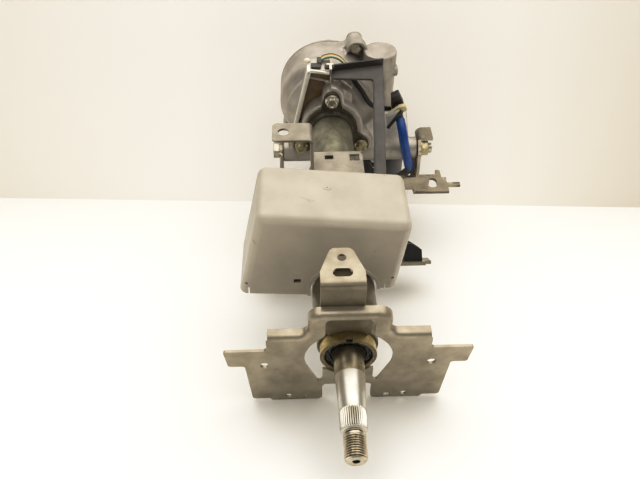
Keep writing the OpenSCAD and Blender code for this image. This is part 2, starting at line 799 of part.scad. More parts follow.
module sensor_housing() color("lightgray") difference() {
    union() {
        along_y(casting_y) turned([[0, 0], [sensor_front_r, 0], [sensor_front_r, sensor_len - 19],
            [sensor_back_r, sensor_len - 8],
            [sensor_back_r, sensor_len - seat], [0, sensor_len - seat]]);
        plate_y(casting_y, 10) flange2d(sensor_front_r, lobe_r);
        plate_y(casting_y, sensor_len - 4) on_circle(flange_circle_r, flange_angles)
            circle(flange_ear_r - 1);
        along_x(-pivot_left, pivot_y, -pivot_drop) cylinder(r = pivot_boss_r, h = pivot_left + pivot_right);
        plate_x(-18, 94) polygon([[pivot_y - 4, -pivot_drop - 4], [gear_y0 - seat, -24],
            [gear_y0 - seat, web_top(gear_y0)], [pivot_y - 4, web_top(pivot_y - 4)]]);
        difference() {
            plate_y(pocket_y, gear_y0 - seat - pocket_y)
                polygon([[-pocket_left - 4, -8], [-pocket_left + 11, pocket_top],
                [-1, pocket_top], [1, 44], [0, 0]]);
            plate_y(pocket_y - past, pocket_floor_y + past - pocket_y) polygon([[-pocket_left - 1, -4],
                [-pocket_left + 13.4, pocket_top - pocket_wall], [-3, pocket_top - pocket_wall],
                    [-2, 44], [0, 0]]);
        }
    }
    plate_y(casting_y - pivot_boss_r, pivot_boss_r) flange2d(flange_ring_r + clear, flange_ear_r + clear);
    plate_y(casting_y - past, pocket_floor_y + past - casting_y) difference() {
        polygon([[-pocket_left - 1, -4], [-pocket_left + 13.4, pocket_top - pocket_wall],
            [-lobe_r, pocket_top - pocket_wall], [-lobe_r, 0]]);
        flange2d(sensor_front_r, lobe_r);
    }
    along_y(casting_y - past) cylinder(r = sensor_mouth_r, h = sensor_len + 2 * past);
    along_y(casting_y + sensor_front_t) cylinder(r = sensor_bore_r, h = sensor_len);
    along_x(-pivot_left - past, pivot_y, -pivot_drop)
        cylinder(r = pivot_bush_r + fit, h = pivot_left + pivot_right + 2 * past);
    for (a = flange_angles) translate([flange_circle_r * cos(a), 0, flange_circle_r * sin(a)])
        along_y(casting_y - past) cylinder(r = flange_bolt_r + fit, h = flange_bolt_len);
}

module sensor_cover() color("saddlebrown") plate_y(pocket_floor_y - 4, 4 - seat)
    polygon([[-pocket_left + 14, pocket_top - 4],
    [-4, pocket_top - 4], [-3, 44], [-12, 38], [-20, 33], [-23.4, 30]]);

module sensor_coil() color("peru") along_y(casting_y + sensor_front_t + seat)
    pipe(sensor_bore_r - fit, sensor_rotor_r + clear, sensor_coil_w);

// Gear housing casting: wheel drum, worm barrel and motor flange

module lugs2d(r) for (a = lug_angles) {
    on_circle(lug_circle_r, [a]) circle(r);
    rotate(a) translate([0, 0.9 * -r]) square([lug_circle_r, 1.8 * r]);
}

module gear_housing() color("lightgray") difference() {
    union() {
        along_y(gear_y0) rotate_extrude() {
            square([drum_r - drum_round, gear_len]);
            translate([0, drum_round]) square([drum_r, gear_len - drum_round]);
            translate([drum_r - drum_round, drum_round]) circle(drum_round);
        }
        plate_y(gear_end - lug_len, lug_len) lugs2d(lug_r);
        worm_axis(-motor_face) cylinder(r = worm_body_r, h = motor_face + worm_body_top);
        worm_axis(-motor_face - motor_flange_t) cylinder(r = motor_flange_r, h = motor_flange_t);
        for (s = [-1, 1]) worm_axis(-motor_face - motor_flange_t) translate([0, s * motor_ear_x, 0])
            cylinder(r = motor_ear_r, h = motor_flange_t);
    }
    along_y(gear_y - wheel_w / 2 - 2) cylinder(r = cavity_r, h = gear_len);
    along_y(gear_y0 - past) cylinder(r = output_bearing_r + fit, h = gear_len);
    worm_axis(-motor_face - motor_flange_t - past)
        cylinder(r = worm_bore_r, h = motor_face + motor_flange_t + past + worm_bore_top);
    for (a = lug_angles) translate([lug_circle_r * cos(a), 0, lug_circle_r * sin(a)])
        along_y(gear_end - lug_len - past) cylinder(r = lug_bolt_r + fit, h = lug_len + 2 * past);
    for (s = [-1, 1]) worm_axis(-motor_face - motor_flange_t - past) translate([0, s * motor_ear_x, 0])
        cylinder(r = motor_bolt_r + fit, h = motor_flange_t + 2 * past);
}

module gear_cover() color("lightgray") difference() {
    hub_len = output_bearing_w + 3;
    union() {
        plate_y(gear_end + seat, cover_t) {
            circle(drum_r);
            lugs2d(lug_r);
        }
        along_y(gear_end + seat) cylinder(r = output_bearing_r + housing_wall, h = hub_len);
        for (a = [30 : 60 : 330]) rotate([0, a, 0]) translate([0, gear_end + seat + cover_t - past, -2])
            cube([drum_r - 8, hub_len - cover_t, 4]);
    }
    along_y(gear_end - past) cylinder(r = output_bearing_r + fit,
        h = rear_bearing_y + output_bearing_w - gear_end + past);
    along_y(gear_end) cylinder(r = output_journal_r + clear, h = hub_len + 2 * past);
    worm_axis(-motor_drop) cylinder(r = motor_flange_r + clear, h = motor_drop - motor_face + clear);
    for (a = lug_angles) translate([lug_circle_r * cos(a), 0, lug_circle_r * sin(a)])
        along_y(gear_end - past) cylinder(r = lug_bolt_r + fit, h = cover_t + 2 * past);
}

module housing_bolts() color("khaki") for (a = lug_angles)
    translate([lug_circle_r * cos(a), 0, lug_circle_r * sin(a)]) {
    head_y = gear_end - lug_len - seat;
    along_y(head_y) cylinder(r = lug_bolt_r, h = lug_len + cover_t + 3 * seat);
    along_y(head_y - lug_head_h) hex_head(lug_head_r, lug_head_h);
}

// Worm wheel and output shaft

module output_shaft() color("gray") difference() {
    along_y(0) turned([[0, output_y], [output_journal_r, output_y], [output_journal_r, wheel_y],
        [wheel_seat_r, wheel_y], [wheel_seat_r, wheel_y + wheel_w], [output_journal_r, wheel_y + wheel_w],
        [output_journal_r, output_neck_y], [output_r, output_serration_y], [output_r, output_end],
            [0, output_end]]);
    along_y(output_y - past) cylinder(r = spigot_r + fit, h = past + spigot_len + clear);
    along_y(output_y) cylinder(r = torsion_end_r + fit, h = torsion_end + seat - output_y);
    translate([-output_d, torsion_pin_y, 0]) along_x(0, 0, 0)
        cylinder(r = torsion_pin_r + fit, h = 2 * output_d);
}

module torsion_bar() color("slategray") difference() {
    along_y(0) turned([[0, torsion_y + seat], [torsion_end_r, torsion_y + seat],
        [torsion_end_r, torsion_y + torsion_grip], [torsion_waist_r, torsion_y + torsion_grip + 4],
        [torsion_waist_r, torsion_end - torsion_grip - 4], [torsion_end_r, torsion_end - torsion_grip],
        [torsion_end_r, torsion_end], [0, torsion_end]]);
    translate([-output_d, torsion_pin_y, 0]) along_x(0, 0, 0)
        cylinder(r = torsion_pin_r + fit, h = 2 * output_d);
}

module torsion_pin() color("silver") along_x(1 - output_r, torsion_pin_y, 0)
    cylinder(r = torsion_pin_r, h = output_d - 2);

module wheel_hub() color("silver") along_y(wheel_y) difference() {
    cylinder(r = hub_r, h = wheel_w);
    translate([0, 0, -past]) cylinder(r = wheel_seat_r + fit, h = wheel_w + 2 * past);
    for (z = [-past, wheel_w / 2 + hub_web_t / 2]) translate([0, 0, z])
        pipe(hub_r - 5, wheel_seat_r + 5, wheel_w / 2 - hub_web_t / 2 + past);
}

// Angle that half a tooth of the given pitch thickness covers at radius r
function half_tooth(r) = (tooth_share * tooth_pitch / 2 - (r - wheel_pitch_r) * flank) / r * 180 / PI;
function half_thread(r) = 360 * (thread_share * tooth_pitch / 2 - (r - worm_pitch_r) * flank) / worm_lead;

wheel_twist = worm_lead / (PI * worm_pitch_d) * wheel_w / wheel_pitch_r * 180 / PI;

module wheel2d() polygon([for (i = [0 : wheel_teeth - 1]) let (a = 360 * (i + 0.5) / wheel_teeth)
    each [for (p = [[wheel_root_r, -1], [wheel_tip_r, -1], [wheel_tip_r, 1], [wheel_root_r, 1]])
        let (b = a + p[1] * half_tooth(p[0])) p[0] * [cos(b), sin(b)]]]);

module wheel_rim() color("beige") along_y(wheel_y) difference() {
    rotate(-wheel_twist / 2) linear_extrude(wheel_w, twist = -wheel_twist, slices = 4) wheel2d();
    translate([0, 0, -past]) cylinder(r = hub_r + fit, h = wheel_w + 2 * past);
}

module worm2d() polygon([for (s = [0 : worm_starts - 1]) let (a = 360 * s / worm_starts)
    each [for (p = [[worm_root_r, -1], [worm_pitch_r, -1], [worm_tip_r, -1], [worm_tip_r, 1],
        [worm_pitch_r, 1],
            [worm_root_r, 1], [worm_root_r, 1.3]])
        let (b = a + p[1] * half_thread(p[0])) p[0] * [cos(b), sin(b)]]]);

worm_turns = worm_len / worm_lead;

module worm_shaft() color("silver") {
    worm_axis(-worm_len / 2) rotate(180 - 180 * worm_turns)
        linear_extrude(worm_len, twist = -360 * worm_turns, slices = ceil(16 * worm_turns), $fn = 20)
            worm2d();
    worm_axis(worm_len / 2 - past) cylinder(r = worm_tip_r + clear, h = worm_shoulder - seat + past);
    worm_axis(worm_len / 2 - past)
        cylinder(r = worm_journal_r, h = worm_shoulder + worm_bearing_w + past);
    worm_axis(-worm_bearing_z + seat) cylinder(r = worm_tip_r + clear, h = worm_shoulder - seat + past);
    worm_axis(-motor_face) cylinder(r = worm_journal_r, h = motor_face - worm_len / 2 + past);
}

module worm_bearings() for (z = [worm_bearing_z, -worm_bearing_z - worm_bearing_w]) worm_axis(z) children();

module worm_bearing_outers() color("silver") worm_bearings()
    outer_ring(worm_journal_r, worm_bearing_r, worm_bearing_w);

module worm_bearing_inners() color("silver") worm_bearings()
    inner_ring(worm_journal_r, worm_bearing_r, worm_bearing_w);

module output_bearings() for (y = [front_bearing_y, rear_bearing_y]) along_y(y) children();

module output_bearing_outers() color("silver") output_bearings()
    outer_ring(output_journal_r, output_bearing_r, output_bearing_w);

module output_bearing_inners() color("silver") output_bearings()
    inner_ring(output_journal_r, output_bearing_r, output_bearing_w);

module gear_bearing_balls() color("silver") {
    worm_bearings() ball_row(worm_journal_r, worm_bearing_r, worm_bearing_w, 8);
    output_bearings() ball_row(output_journal_r, output_bearing_r, output_bearing_w, 10);
}

// Motor

module worm_coupling() color("black") worm_axis(-motor_face - coupling_t) difference() {
    cylinder(r = coupling_r, h = coupling_t + coupling_grip);
    translate([0, 0, -past]) cylinder(r = rotor_shaft_r + fit, h = coupling_t + 2 * past);
    translate([0, 0, coupling_t]) cylinder(r = worm_journal_r + fit, h = coupling_grip + past);
}

module motor_case() color("dimgray") difference() {
    union() {
        worm_axis(-motor_drop) cylinder(r = motor_r, h = motor_drop - motor_top);
        for (s = [-1, 1]) worm_axis(-motor_top - motor_ear_t) translate([0, s * motor_ear_x, 0])
            cylinder(r = motor_ear_r, h = motor_ear_t);
    }
    worm_axis(-motor_drop + motor_bush_t + motor_wall)
        cylinder(r = stator_r + seat, h = motor_drop - motor_top - 2 * motor_wall - motor_bush_t);
    worm_axis(-motor_drop + motor_wall) cylinder(r = motor_bush_r + fit, h = motor_drop);
    for (s = [-1, 1]) worm_axis(-motor_top - motor_ear_t - past) translate([0, s * motor_ear_x, 0])
        cylinder(r = motor_bolt_r + fit, h = motor_ear_t + 2 * past);
}

module motor_stator() color("brown") worm_axis(-motor_drop + stator_end_room)
    pipe(stator_r, stator_r - stator_t, motor_drop - motor_top - stator_end_room - 8);

module motor_rotor() color("peru") {
    core = stator_r - stator_t - air_gap;
    worm_axis(-motor_drop + motor_wall + seat)
        cylinder(r = rotor_shaft_r, h = motor_drop - motor_wall - motor_face - 2 * seat);
    worm_axis(-motor_drop + stator_end_room + 2)
        linear_extrude(motor_drop - motor_top - stator_end_room - 14)
        difference() {
            circle(core);
            for (a = [0 : 30 : 330]) rotate(a) translate([core - 7, -1.2]) square([7 + past, 2.4]);
        }
}

module motor_bushes() color("darkgoldenrod")
    for (z = [motor_wall + seat - motor_drop, -motor_top - motor_wall])
    worm_axis(z) pipe(motor_bush_r, rotor_shaft_r + fit,
        z < -motor_top - motor_wall ? motor_bush_t : motor_wall);

module motor_bolts() color("khaki") for (s = [-1, 1]) translate([0, s * motor_ear_x, 0]) {
    under = -motor_top - motor_ear_t - seat;
    worm_axis(under) cylinder(r = motor_bolt_r, h = motor_ear_t + motor_flange_t);
    worm_axis(under - motor_bolt_head_h) hex_head(motor_bolt_head_r, motor_bolt_head_h);
}

// Pivot and lower bracket

module pivot_bushes() color("ivory") for (x = [-pivot_left, pivot_right - pivot_bush_len])
    along_x(x, pivot_y, -pivot_drop) pipe(pivot_bush_r, pivot_r + fit, pivot_bush_len);

lower_web_y = pivot_y - 18;
lower_web_top = mount_drop - 19.5;
lower_web_low = mount_drop - 3;
lower_web_past = 11;
foot_depth = 27;
foot_step = 5;
foot_slot = 15;
foot_slot_y = 14;
prong_w = 4.6;
prong_len = 12;
foot_right = 36.5;
foot_hole_x = 21;
foot_left = 26;
foot_left_hole_x = 12;
ear_r = 13;
ear_flange = [15, 18];
ear_flange_set = 2;
module ear2d() {
    translate([pivot_y, -pivot_drop]) circle(ear_r);
    polygon([[pivot_y - ear_r, -pivot_drop], [pivot_y + ear_r, -pivot_drop],
        [lower_web_y + foot_depth, -mount_drop], [lower_web_y, -mount_drop],
        [lower_web_y, -lower_web_top]]);
}

module foot_slot2d(x) translate([x, lower_web_y + foot_slot_y]) rotate(90)
    slot2d(foot_slot, mount_hole_d / 2);

module right_foot2d(far_x, hole_x) difference() {
    union() {
        translate([0, lower_web_y]) square([far_x, foot_depth - foot_step]);
        translate([0, lower_web_y]) square([hole_x + mount_hole_d / 2 + bracket_t, foot_depth]);
        translate([far_x - 2 * prong_w, lower_web_y + foot_depth - foot_step - past])
            square([prong_w, prong_len + past]);
        translate([far_x - past, lower_web_y + foot_slot_y - prong_w])
            square([prong_len + 2 * past, prong_w]);
    }
    foot_slot2d(hole_x);
}

module lower_bracket() color("darkgray") difference() {
    union() {
        plate_x(ear_right, bracket_t) ear2d();
        plate_x(-ear_left - bracket_t, bracket_t) ear2d();
        plate_y(lower_web_y, bracket_t) translate([-ear_left - bracket_t, -lower_web_low])
            square([ear_left + ear_right + 2 * bracket_t + lower_web_past, lower_web_low - lower_web_top]);
        plate_z(-mount_drop - bracket_t, bracket_t) {
            translate([ear_right, 0]) right_foot2d(foot_right, foot_hole_x);
            difference() {
                translate([-ear_left - bracket_t, lower_web_y]) square([foot_left, foot_depth]);
                foot_slot2d(foot_left_hole_x - ear_left);
            }
        }
        translate([ear_right, pivot_y - ear_flange_set, ear_r - pivot_drop - bracket_t])
            cube([ear_flange[0], ear_flange[1], bracket_t]);
    }
    along_x(-ear_left - bracket_t - past, pivot_y, -pivot_drop)
        cylinder(r = pivot_r + fit, h = ear_left + ear_right + 2 * (bracket_t + past));
}

module pivot_bolt() color("khaki") {
    along_x(-ear_left - bracket_t - seat - pivot_head_h, pivot_y, -pivot_drop)
        hex_head(pivot_head_r, pivot_head_h);
    along_x(-ear_left - bracket_t - seat, pivot_y, -pivot_drop)
        cylinder(r = pivot_r, h = ear_left + ear_right + 2 * bracket_t + 12);
}

module pivot_nut() color("khaki") along_x(ear_right + bracket_t + seat, pivot_y, -pivot_drop) difference() {
    union() {
        hex_head(pivot_head_r, 8);
        cylinder(r = pivot_head_r + 1.5, h = 1.6);
    }
    translate([0, 0, -past]) cylinder(r = pivot_r + fit, h = 8 + 2 * past);
}

// Tilt clamp and upper bracket

module clamp_bracket() color("gray") difference() {
    union() {
        for (x = [-clamp_half_w, clamp_half_w - clamp_t]) plate_x(x, clamp_t)
            translate([clamp_y, -clamp_bottom]) rounded2d([clamp_len, clamp_bottom - 6], 4);
        for (y = [clamp_y + 3, clamp_y + clamp_len - 3 - clamp_t]) plate_y(y, clamp_t) difference() {
            translate([-clamp_half_w + past, 4 - clamp_bottom])
                square([2 * (clamp_half_w - past), clamp_bottom - 14]);
            circle(upper_tube_r + seat);
        }
    }
    along_x(-clamp_half_w - past, tilt_y, -tilt_bolt_drop)
        cylinder(r = tilt_bolt_r + fit, h = 2 * (clamp_half_w + past));
}

module tilt_slot2d() translate([tilt_y, -tilt_bolt_drop]) rotate(90)
    slot2d(2 * (tilt_travel + tilt_bolt_r + slot_clear), tilt_bolt_r + slot_clear);

wing_right = 86;
wing_left = 76;
wing_depth = 28;
wing_nose = 6;
wing_slope = 38;
capsule_x = 70;
capsule_left_x = 62;
capsule_hole_d = 9;
capsule_half_w = 8;
capsule_len = 18;
capsule_h = 16;
capsule_side = 10.3;

// Plane of the sloping wings, which lie square to the bolts of the cross beam
module wing_plane() translate([0, tilt_y, -mount_drop]) rotate([-wing_slope, 0, 0]) children();

module upper_bracket() color("darkgray") {
    half = wing_depth / 2;
    run = half * cos(wing_slope);
    fall = half * sin(wing_slope);
    for (x = [-side_half_w - bracket_t, side_half_w]) plate_x(x, bracket_t) difference() {
        polygon([[tilt_y - run, fall - mount_drop - past], [tilt_y + run, -fall - mount_drop - past],
            [clamp_y + clamp_len + 2, -tilt_bolt_drop], [clamp_y + clamp_len - 4, 16 - tilt_bolt_drop],
            [clamp_y + 4, 16 - tilt_bolt_drop], [clamp_y - 2, -tilt_bolt_drop]]);
        tilt_slot2d();
    }
    wing_plane() plate_z(-bracket_t, bracket_t) difference() {
        union() {
            translate([wing_nose - wing_left, -half])
                square([wing_left + wing_right - 2 * wing_nose, wing_depth]);
            translate([-wing_left, wing_nose - half])
                square([wing_left + wing_right, wing_depth - 2 * wing_nose]);
        }
        for (x = [capsule_x, -capsule_left_x]) translate([x, 0]) circle(d = capsule_hole_d + 2);
    }
}

module release_capsules() color("black") wing_plane() for (x = [capsule_x, -capsule_left_x])
    translate([x, 0, seat]) difference() {
    plate_y(-capsule_len / 2, capsule_len) polygon([[-capsule_half_w, 0], [capsule_half_w, 0],
        [capsule_half_w - 0.6, capsule_side], [-1.3, capsule_h], [-capsule_half_w, capsule_h]]);
    translate([0, 0, -past]) cylinder(d = capsule_hole_d, h = capsule_h + 2 * past);
}

module tilt_bolt() color("khaki") {
    reach = side_half_w + bracket_t + seat;
    along_x(-reach - 16, tilt_y, -tilt_bolt_drop) cylinder(r = tilt_bolt_r, h = 2 * reach + 16);
    along_x(reach, tilt_y, -tilt_bolt_drop) hex_head(tilt_bolt_r + 3, 5);
}

lever_x = side_half_w + bracket_t + clear;
lever_t = 6;
lever_hub_r = 10;
lever_reach = [66, -32];
module tilt_lever() color("dimgray") plate_x(-lever_x - lever_t, lever_t) difference() {
    union() {
        translate([tilt_y, -tilt_bolt_drop]) circle(lever_hub_r);
        translate([tilt_y, -tilt_bolt_drop] + lever_reach) circle(8);
        polygon([[tilt_y, -tilt_bolt_drop] + [-3, -9], [tilt_y, -tilt_bolt_drop] + lever_reach + [-3, -7],
            [tilt_y, -tilt_bolt_drop] + lever_reach + [3, 7], [tilt_y, -tilt_bolt_drop] + [4, 9]]);
    }
    translate([tilt_y, -tilt_bolt_drop]) circle(tilt_bolt_r + fit);
}

module tilt_nut() color("khaki") along_x(-lever_x - lever_t - clear - 7, tilt_y, -tilt_bolt_drop)
    difference() {
    hex_head(tilt_bolt_r + 3, 7);
    translate([0, 0, -past]) cylinder(r = tilt_bolt_r + fit, h = 7 + 2 * past);
}

// Wiring

module sensor_connector() color("gray") translate([-19, pocket_y + 7, pocket_top + seat]) {
    cube(sensor_plug);
    translate([2, 2, sensor_plug.z - seat]) cube([sensor_plug.x - 4, sensor_plug.y - 4, 1.5]);
}

module routed(route, d) translate([0, casting_y, 0]) cord(route, d);

module sensor_wires() color("firebrick") for (i = [0 : 3])
    translate([0, wire_set + wire_pitch * i, 0]) routed(wire_route, wire_d);

module sensor_lead() color("black") routed(lead_route, lead_d);

// Plug on a stay that stands on the casting's web
module harness_connector() color("dimgray") {
    y = casting_y + harness_plug_y;
    foot = [y + 2, y + 10];
    translate([harness_plug_x, y, -2]) cube(harness_plug);
    translate([harness_plug_x + 1, y - 5, 0]) cube([8, 6, 14]);
    plate_x(harness_plug_x + 2, 6) polygon([[foot[0], web_top(foot[0]) + seat],
        [foot[1], web_top(foot[1]) + seat], [foot[1], 0], [foot[0], 0]]);
}

module motor_connector() color("dimgray") difference() {
    translate([gear_centres, motor_rim_y - 9.7, -motor_plug_drop]) cube(motor_plug);
    worm_axis(-motor_drop) cylinder(r = motor_r + seat, h = motor_drop);
}

module harness_lead() color("blue") routed(harness_route, harness_d);

module placed() rotate([rest_tilt, 0, 0]) children();

placed() steering_shaft();
placed() lower_shaft();
placed() shaft_circlip();
placed() upper_bearing_inner();
placed() sensor_rotor();
placed() upper_tube();
placed() lower_tube();
placed() tube_bush();
placed() tube_flange();
placed() flange_bolts();
placed() bearing_sleeve();
placed() upper_bearing_outer();
placed() upper_bearing_balls();
placed() bearing_circlip();
placed() wing_bracket();
placed() tongue_bracket();
placed() control_cover();
placed() cover_tray();
placed() control_unit();
placed() saddle_bracket();
placed() wire_guide();
placed() sensor_housing();
placed() sensor_cover();
placed() sensor_coil();
placed() gear_housing();
placed() gear_cover();
placed() housing_bolts();
placed() output_shaft();
placed() torsion_bar();
placed() torsion_pin();
placed() wheel_hub();
placed() wheel_rim();
placed() output_bearing_outers();
placed() output_bearing_inners();
placed() worm_shaft();
placed() worm_bearing_outers();
placed() worm_bearing_inners();
placed() gear_bearing_balls();
placed() worm_coupling();
placed() motor_case();
placed() motor_stator();
placed() motor_rotor();
placed() motor_bushes();
placed() motor_bolts();
placed() pivot_bushes();
placed() lower_bracket();
placed() pivot_bolt();
placed() pivot_nut();
placed() clamp_bracket();
placed() upper_bracket();
placed() release_capsules();
placed() tilt_bolt();
placed() tilt_nut();
placed() tilt_lever();
placed() sensor_connector();
placed() sensor_wires();
placed() sensor_lead();
placed() harness_connector();
placed() motor_connector();
placed() harness_lead();
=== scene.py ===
"""Looks of a motor-assisted steering column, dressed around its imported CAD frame.

Pieces are drawn in millimetres in the column's own frame: X to the right, Y along the shaft from its tip,
Z square to it. One matrix lays them down as the column rests on its wing bracket and on its motor's rim.
"""

from __future__ import annotations

import json
import logging
import math
from dataclasses import dataclass, field
from enum import Enum
from functools import partial
from typing import Callable, Sequence

import bmesh
import bpy
import numpy as np
from mathutils import Matrix, Vector
from mathutils.geometry import delaunay_2d_cdt

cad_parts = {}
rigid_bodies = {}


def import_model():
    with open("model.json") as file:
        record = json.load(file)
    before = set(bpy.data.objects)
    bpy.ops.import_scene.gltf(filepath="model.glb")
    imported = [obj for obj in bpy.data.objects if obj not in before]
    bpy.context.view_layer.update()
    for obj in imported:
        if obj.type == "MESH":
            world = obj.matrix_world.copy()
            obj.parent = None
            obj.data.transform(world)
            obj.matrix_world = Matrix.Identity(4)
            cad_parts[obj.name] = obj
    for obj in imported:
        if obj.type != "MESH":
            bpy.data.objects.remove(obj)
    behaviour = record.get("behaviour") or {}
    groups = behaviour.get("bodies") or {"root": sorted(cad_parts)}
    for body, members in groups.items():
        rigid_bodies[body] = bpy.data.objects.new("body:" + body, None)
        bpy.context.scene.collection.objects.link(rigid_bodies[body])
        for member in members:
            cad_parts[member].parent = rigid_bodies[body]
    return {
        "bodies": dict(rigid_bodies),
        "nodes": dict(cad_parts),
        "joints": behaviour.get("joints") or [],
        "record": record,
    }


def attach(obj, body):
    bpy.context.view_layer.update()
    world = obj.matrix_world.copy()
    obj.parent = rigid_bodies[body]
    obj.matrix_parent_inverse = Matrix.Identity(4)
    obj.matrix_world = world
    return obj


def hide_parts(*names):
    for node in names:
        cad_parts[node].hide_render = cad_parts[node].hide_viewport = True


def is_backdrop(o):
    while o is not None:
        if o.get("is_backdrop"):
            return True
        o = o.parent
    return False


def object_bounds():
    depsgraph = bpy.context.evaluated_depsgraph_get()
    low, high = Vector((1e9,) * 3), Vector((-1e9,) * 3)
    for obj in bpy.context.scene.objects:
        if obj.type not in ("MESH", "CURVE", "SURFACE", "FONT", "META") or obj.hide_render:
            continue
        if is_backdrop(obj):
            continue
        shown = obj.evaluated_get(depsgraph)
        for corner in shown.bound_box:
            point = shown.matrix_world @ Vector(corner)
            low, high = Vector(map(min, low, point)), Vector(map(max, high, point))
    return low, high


LOG = logging.getLogger("steering_column")
Point2 = tuple[float, float]
Point3 = tuple[float, float, float]
Form = tuple[list[Point3], list[list[int]]]

# Body that carries most pieces
COLUMN = "column"
# The column lies on the wing bracket's bottom edge and on the motor's rim, both given as Y and Z
WING_FOOT = (70.0, -51.0)
MOTOR_RIM = (343.7, -150.0)
REST_TILT = math.atan2(WING_FOOT[1] - MOTOR_RIM[1], MOTOR_RIM[0] - WING_FOOT[0])
TO_ROW = Matrix.Rotation(REST_TILT, 4, "X") @ Matrix.Scale(0.001, 4)
FROM_ROW = TO_ROW.inverted()
FRAME_SIZE = (640, 479)
# Distances in millimetres under which points become one: CAD meshes, drawn forms, seams of sheets, fills
CAD_MERGE = 0.002
FORM_MERGE = 1e-4
SEAM_MERGE = 0.01
FILL_MERGE = 1e-5
# Angle in degrees under which neighbouring CAD faces count as one flat face
FLAT_ANGLE = 0.6
# Angles in degrees under which edges are shaded smooth: machined, moulded, round and seamless forms
CRISP = 30.0
EVEN = 40.0
ROUND = 60.0
SEAMLESS = 180.0


class Grain(Enum):
    """How a surface was made, which sets the direction and kind of its fine relief."""

    CAST = "cast skin"
    MOULDED = "moulded skin"
    TURNED = "rings round the shaft"
    DRAWN = "lines along the column"
    ROLLED = "rolled sheet"


class Fold(Enum):
    """Sense of a fold, seen along its line."""

    UP = 1
    DOWN = -1


class Along(Enum):
    """Direction in which an outline is drawn out."""

    Y = "along the column"
    Z = "square to it"


class Carve(Enum):
    """What a carving tool does to a mesh."""

    CUT = "DIFFERENCE"
    JOIN = "UNION"


def to_linear(code: str) -> tuple[float, float, float, float]:
    """Turns an sRGB hex colour into linear light.

    Args:
        code: Colour as six hex digits after a hash.

    Returns:
        Red, green, blue and alpha in linear light.
    """
    values = [int(code[i : i + 2], 16) / 255 for i in (1, 3, 5)]
    linear = [v / 12.92 if v <= 0.04045 else ((v + 0.055) / 1.055) ** 2.4 for v in values]
    return (linear[0], linear[1], linear[2], 1.0)


def add(tree: bpy.types.NodeTree, kind: str, settings: dict | None = None,
        inputs: dict | None = None) -> bpy.types.Node:
    """Adds a node to a tree.

    Args:
        tree: Tree that takes the node.
        kind: Type name of the node.
        settings: Properties of the node.
        inputs: Values or sockets for the node's inputs, by name or number.

    Returns:
        The new node.
    """
    node = tree.nodes.new(kind)
    for name, value in (settings or {}).items():
        setattr(node, name, value)
    for name, value in (inputs or {}).items():
        if isinstance(value, bpy.types.NodeSocket):
            tree.links.new(value, node.inputs[name])
        else:
            node.inputs[name].default_value = value
    return node


@dataclass(frozen=True)
class Finish:
    """One real surface: its colours, its shine, and the marks of how it was made.

    Sizes are in millimetres.
    """

    name: str
    slot: str
    colour: str
    shade: str
    metallic: float = 0.0
    roughness: float = 0.5
    spread: float = 0.08
    patch_mm: float = 14.0
    grain: Grain = Grain.ROLLED
    grain_mm: float = 1.2
    relief_mm: float = 0.02
    soil: str = "#3A3226"
    soil_share: float = 0.0
    soil_mm: float = 9.0

    def material(self) -> bpy.types.Material:
        """Gives the finish's material, made on first use.

        Returns:
            The material.
        """
        found = bpy.data.materials.get(self.name)
        if found:
            return found
        made = bpy.data.materials.new(self.name)
        made.use_nodes = True
        tree = made.node_tree
        shader = tree.nodes["Principled BSDF"]
        place = add(tree, "ShaderNodeTexCoord").outputs["Object"]
        column = add(tree, "ShaderNodeMapping", None,
                     {"Vector": place, "Rotation": (-REST_TILT, 0, 0),
                      "Scale": (1000, 1000, 1000)}).outputs[0]
        patch = add(tree, "ShaderNodeTexNoise", None,
                    {"Vector": column, "Scale": 1 / self.patch_mm, "Detail": 5.0,
                     "Roughness": 0.6}).outputs[0]
        spread = add(tree, "ShaderNodeMapRange", None,
                     {"Value": patch, "From Min": 0.34, "From Max": 0.66}).outputs[0]
        colour = add(tree, "ShaderNodeMix", {"data_type": "RGBA"},
                     {0: spread, 6: to_linear(self.colour), 7: to_linear(self.shade)}).outputs[2]
        rough = add(tree, "ShaderNodeMapRange", None,
                    {"Value": patch, "From Min": 0.3, "From Max": 0.7,
                     "To Min": max(self.roughness - self.spread, 0.03),
                     "To Max": min(self.roughness + self.spread, 1.0)}).outputs[0]
        if self.soil_share > 0:
            blot = add(tree, "ShaderNodeTexNoise", None,
                       {"Vector": column, "Scale": 1 / self.soil_mm, "Detail": 8.0, "Roughness": 0.68,
                        "Distortion": 0.6}).outputs[0]
            edge = 0.72 - 0.34 * self.soil_share
            where = add(tree, "ShaderNodeMapRange", None,
                        {"Value": blot, "From Min": edge, "From Max": edge + 0.12}).outputs[0]
            colour = add(tree, "ShaderNodeMix", {"data_type": "RGBA"},
                         {0: where, 6: colour, 7: to_linear(self.soil)}).outputs[2]
            rough = add(tree, "ShaderNodeMix", {"data_type": "FLOAT"},
                        {0: where, 2: rough, 3: 0.75}).outputs[0]
        stretch = {Grain.TURNED: (0.03, 1, 0.03), Grain.DRAWN: (1, 0.03, 1)}.get(self.grain, (1, 1, 1))
        scaled = add(tree, "ShaderNodeVectorMath", {"operation": "MULTIPLY"},
                     {0: column, 1: stretch}).outputs[0]
        relief = add(tree, "ShaderNodeTexNoise", None,
                     {"Vector": scaled, "Scale": 1 / self.grain_mm, "Detail": 3.0,
                      "Roughness": 0.55}).outputs[0]
        bump = add(tree, "ShaderNodeBump", None,
                   {"Height": relief, "Strength": 0.8, "Distance": self.relief_mm / 1000}).outputs[0]
        for name, socket in (("Base Color", colour), ("Roughness", rough), ("Normal", bump)):
            tree.links.new(socket, shader.inputs[name])
        shader.inputs["Metallic"].default_value = self.metallic
        return made


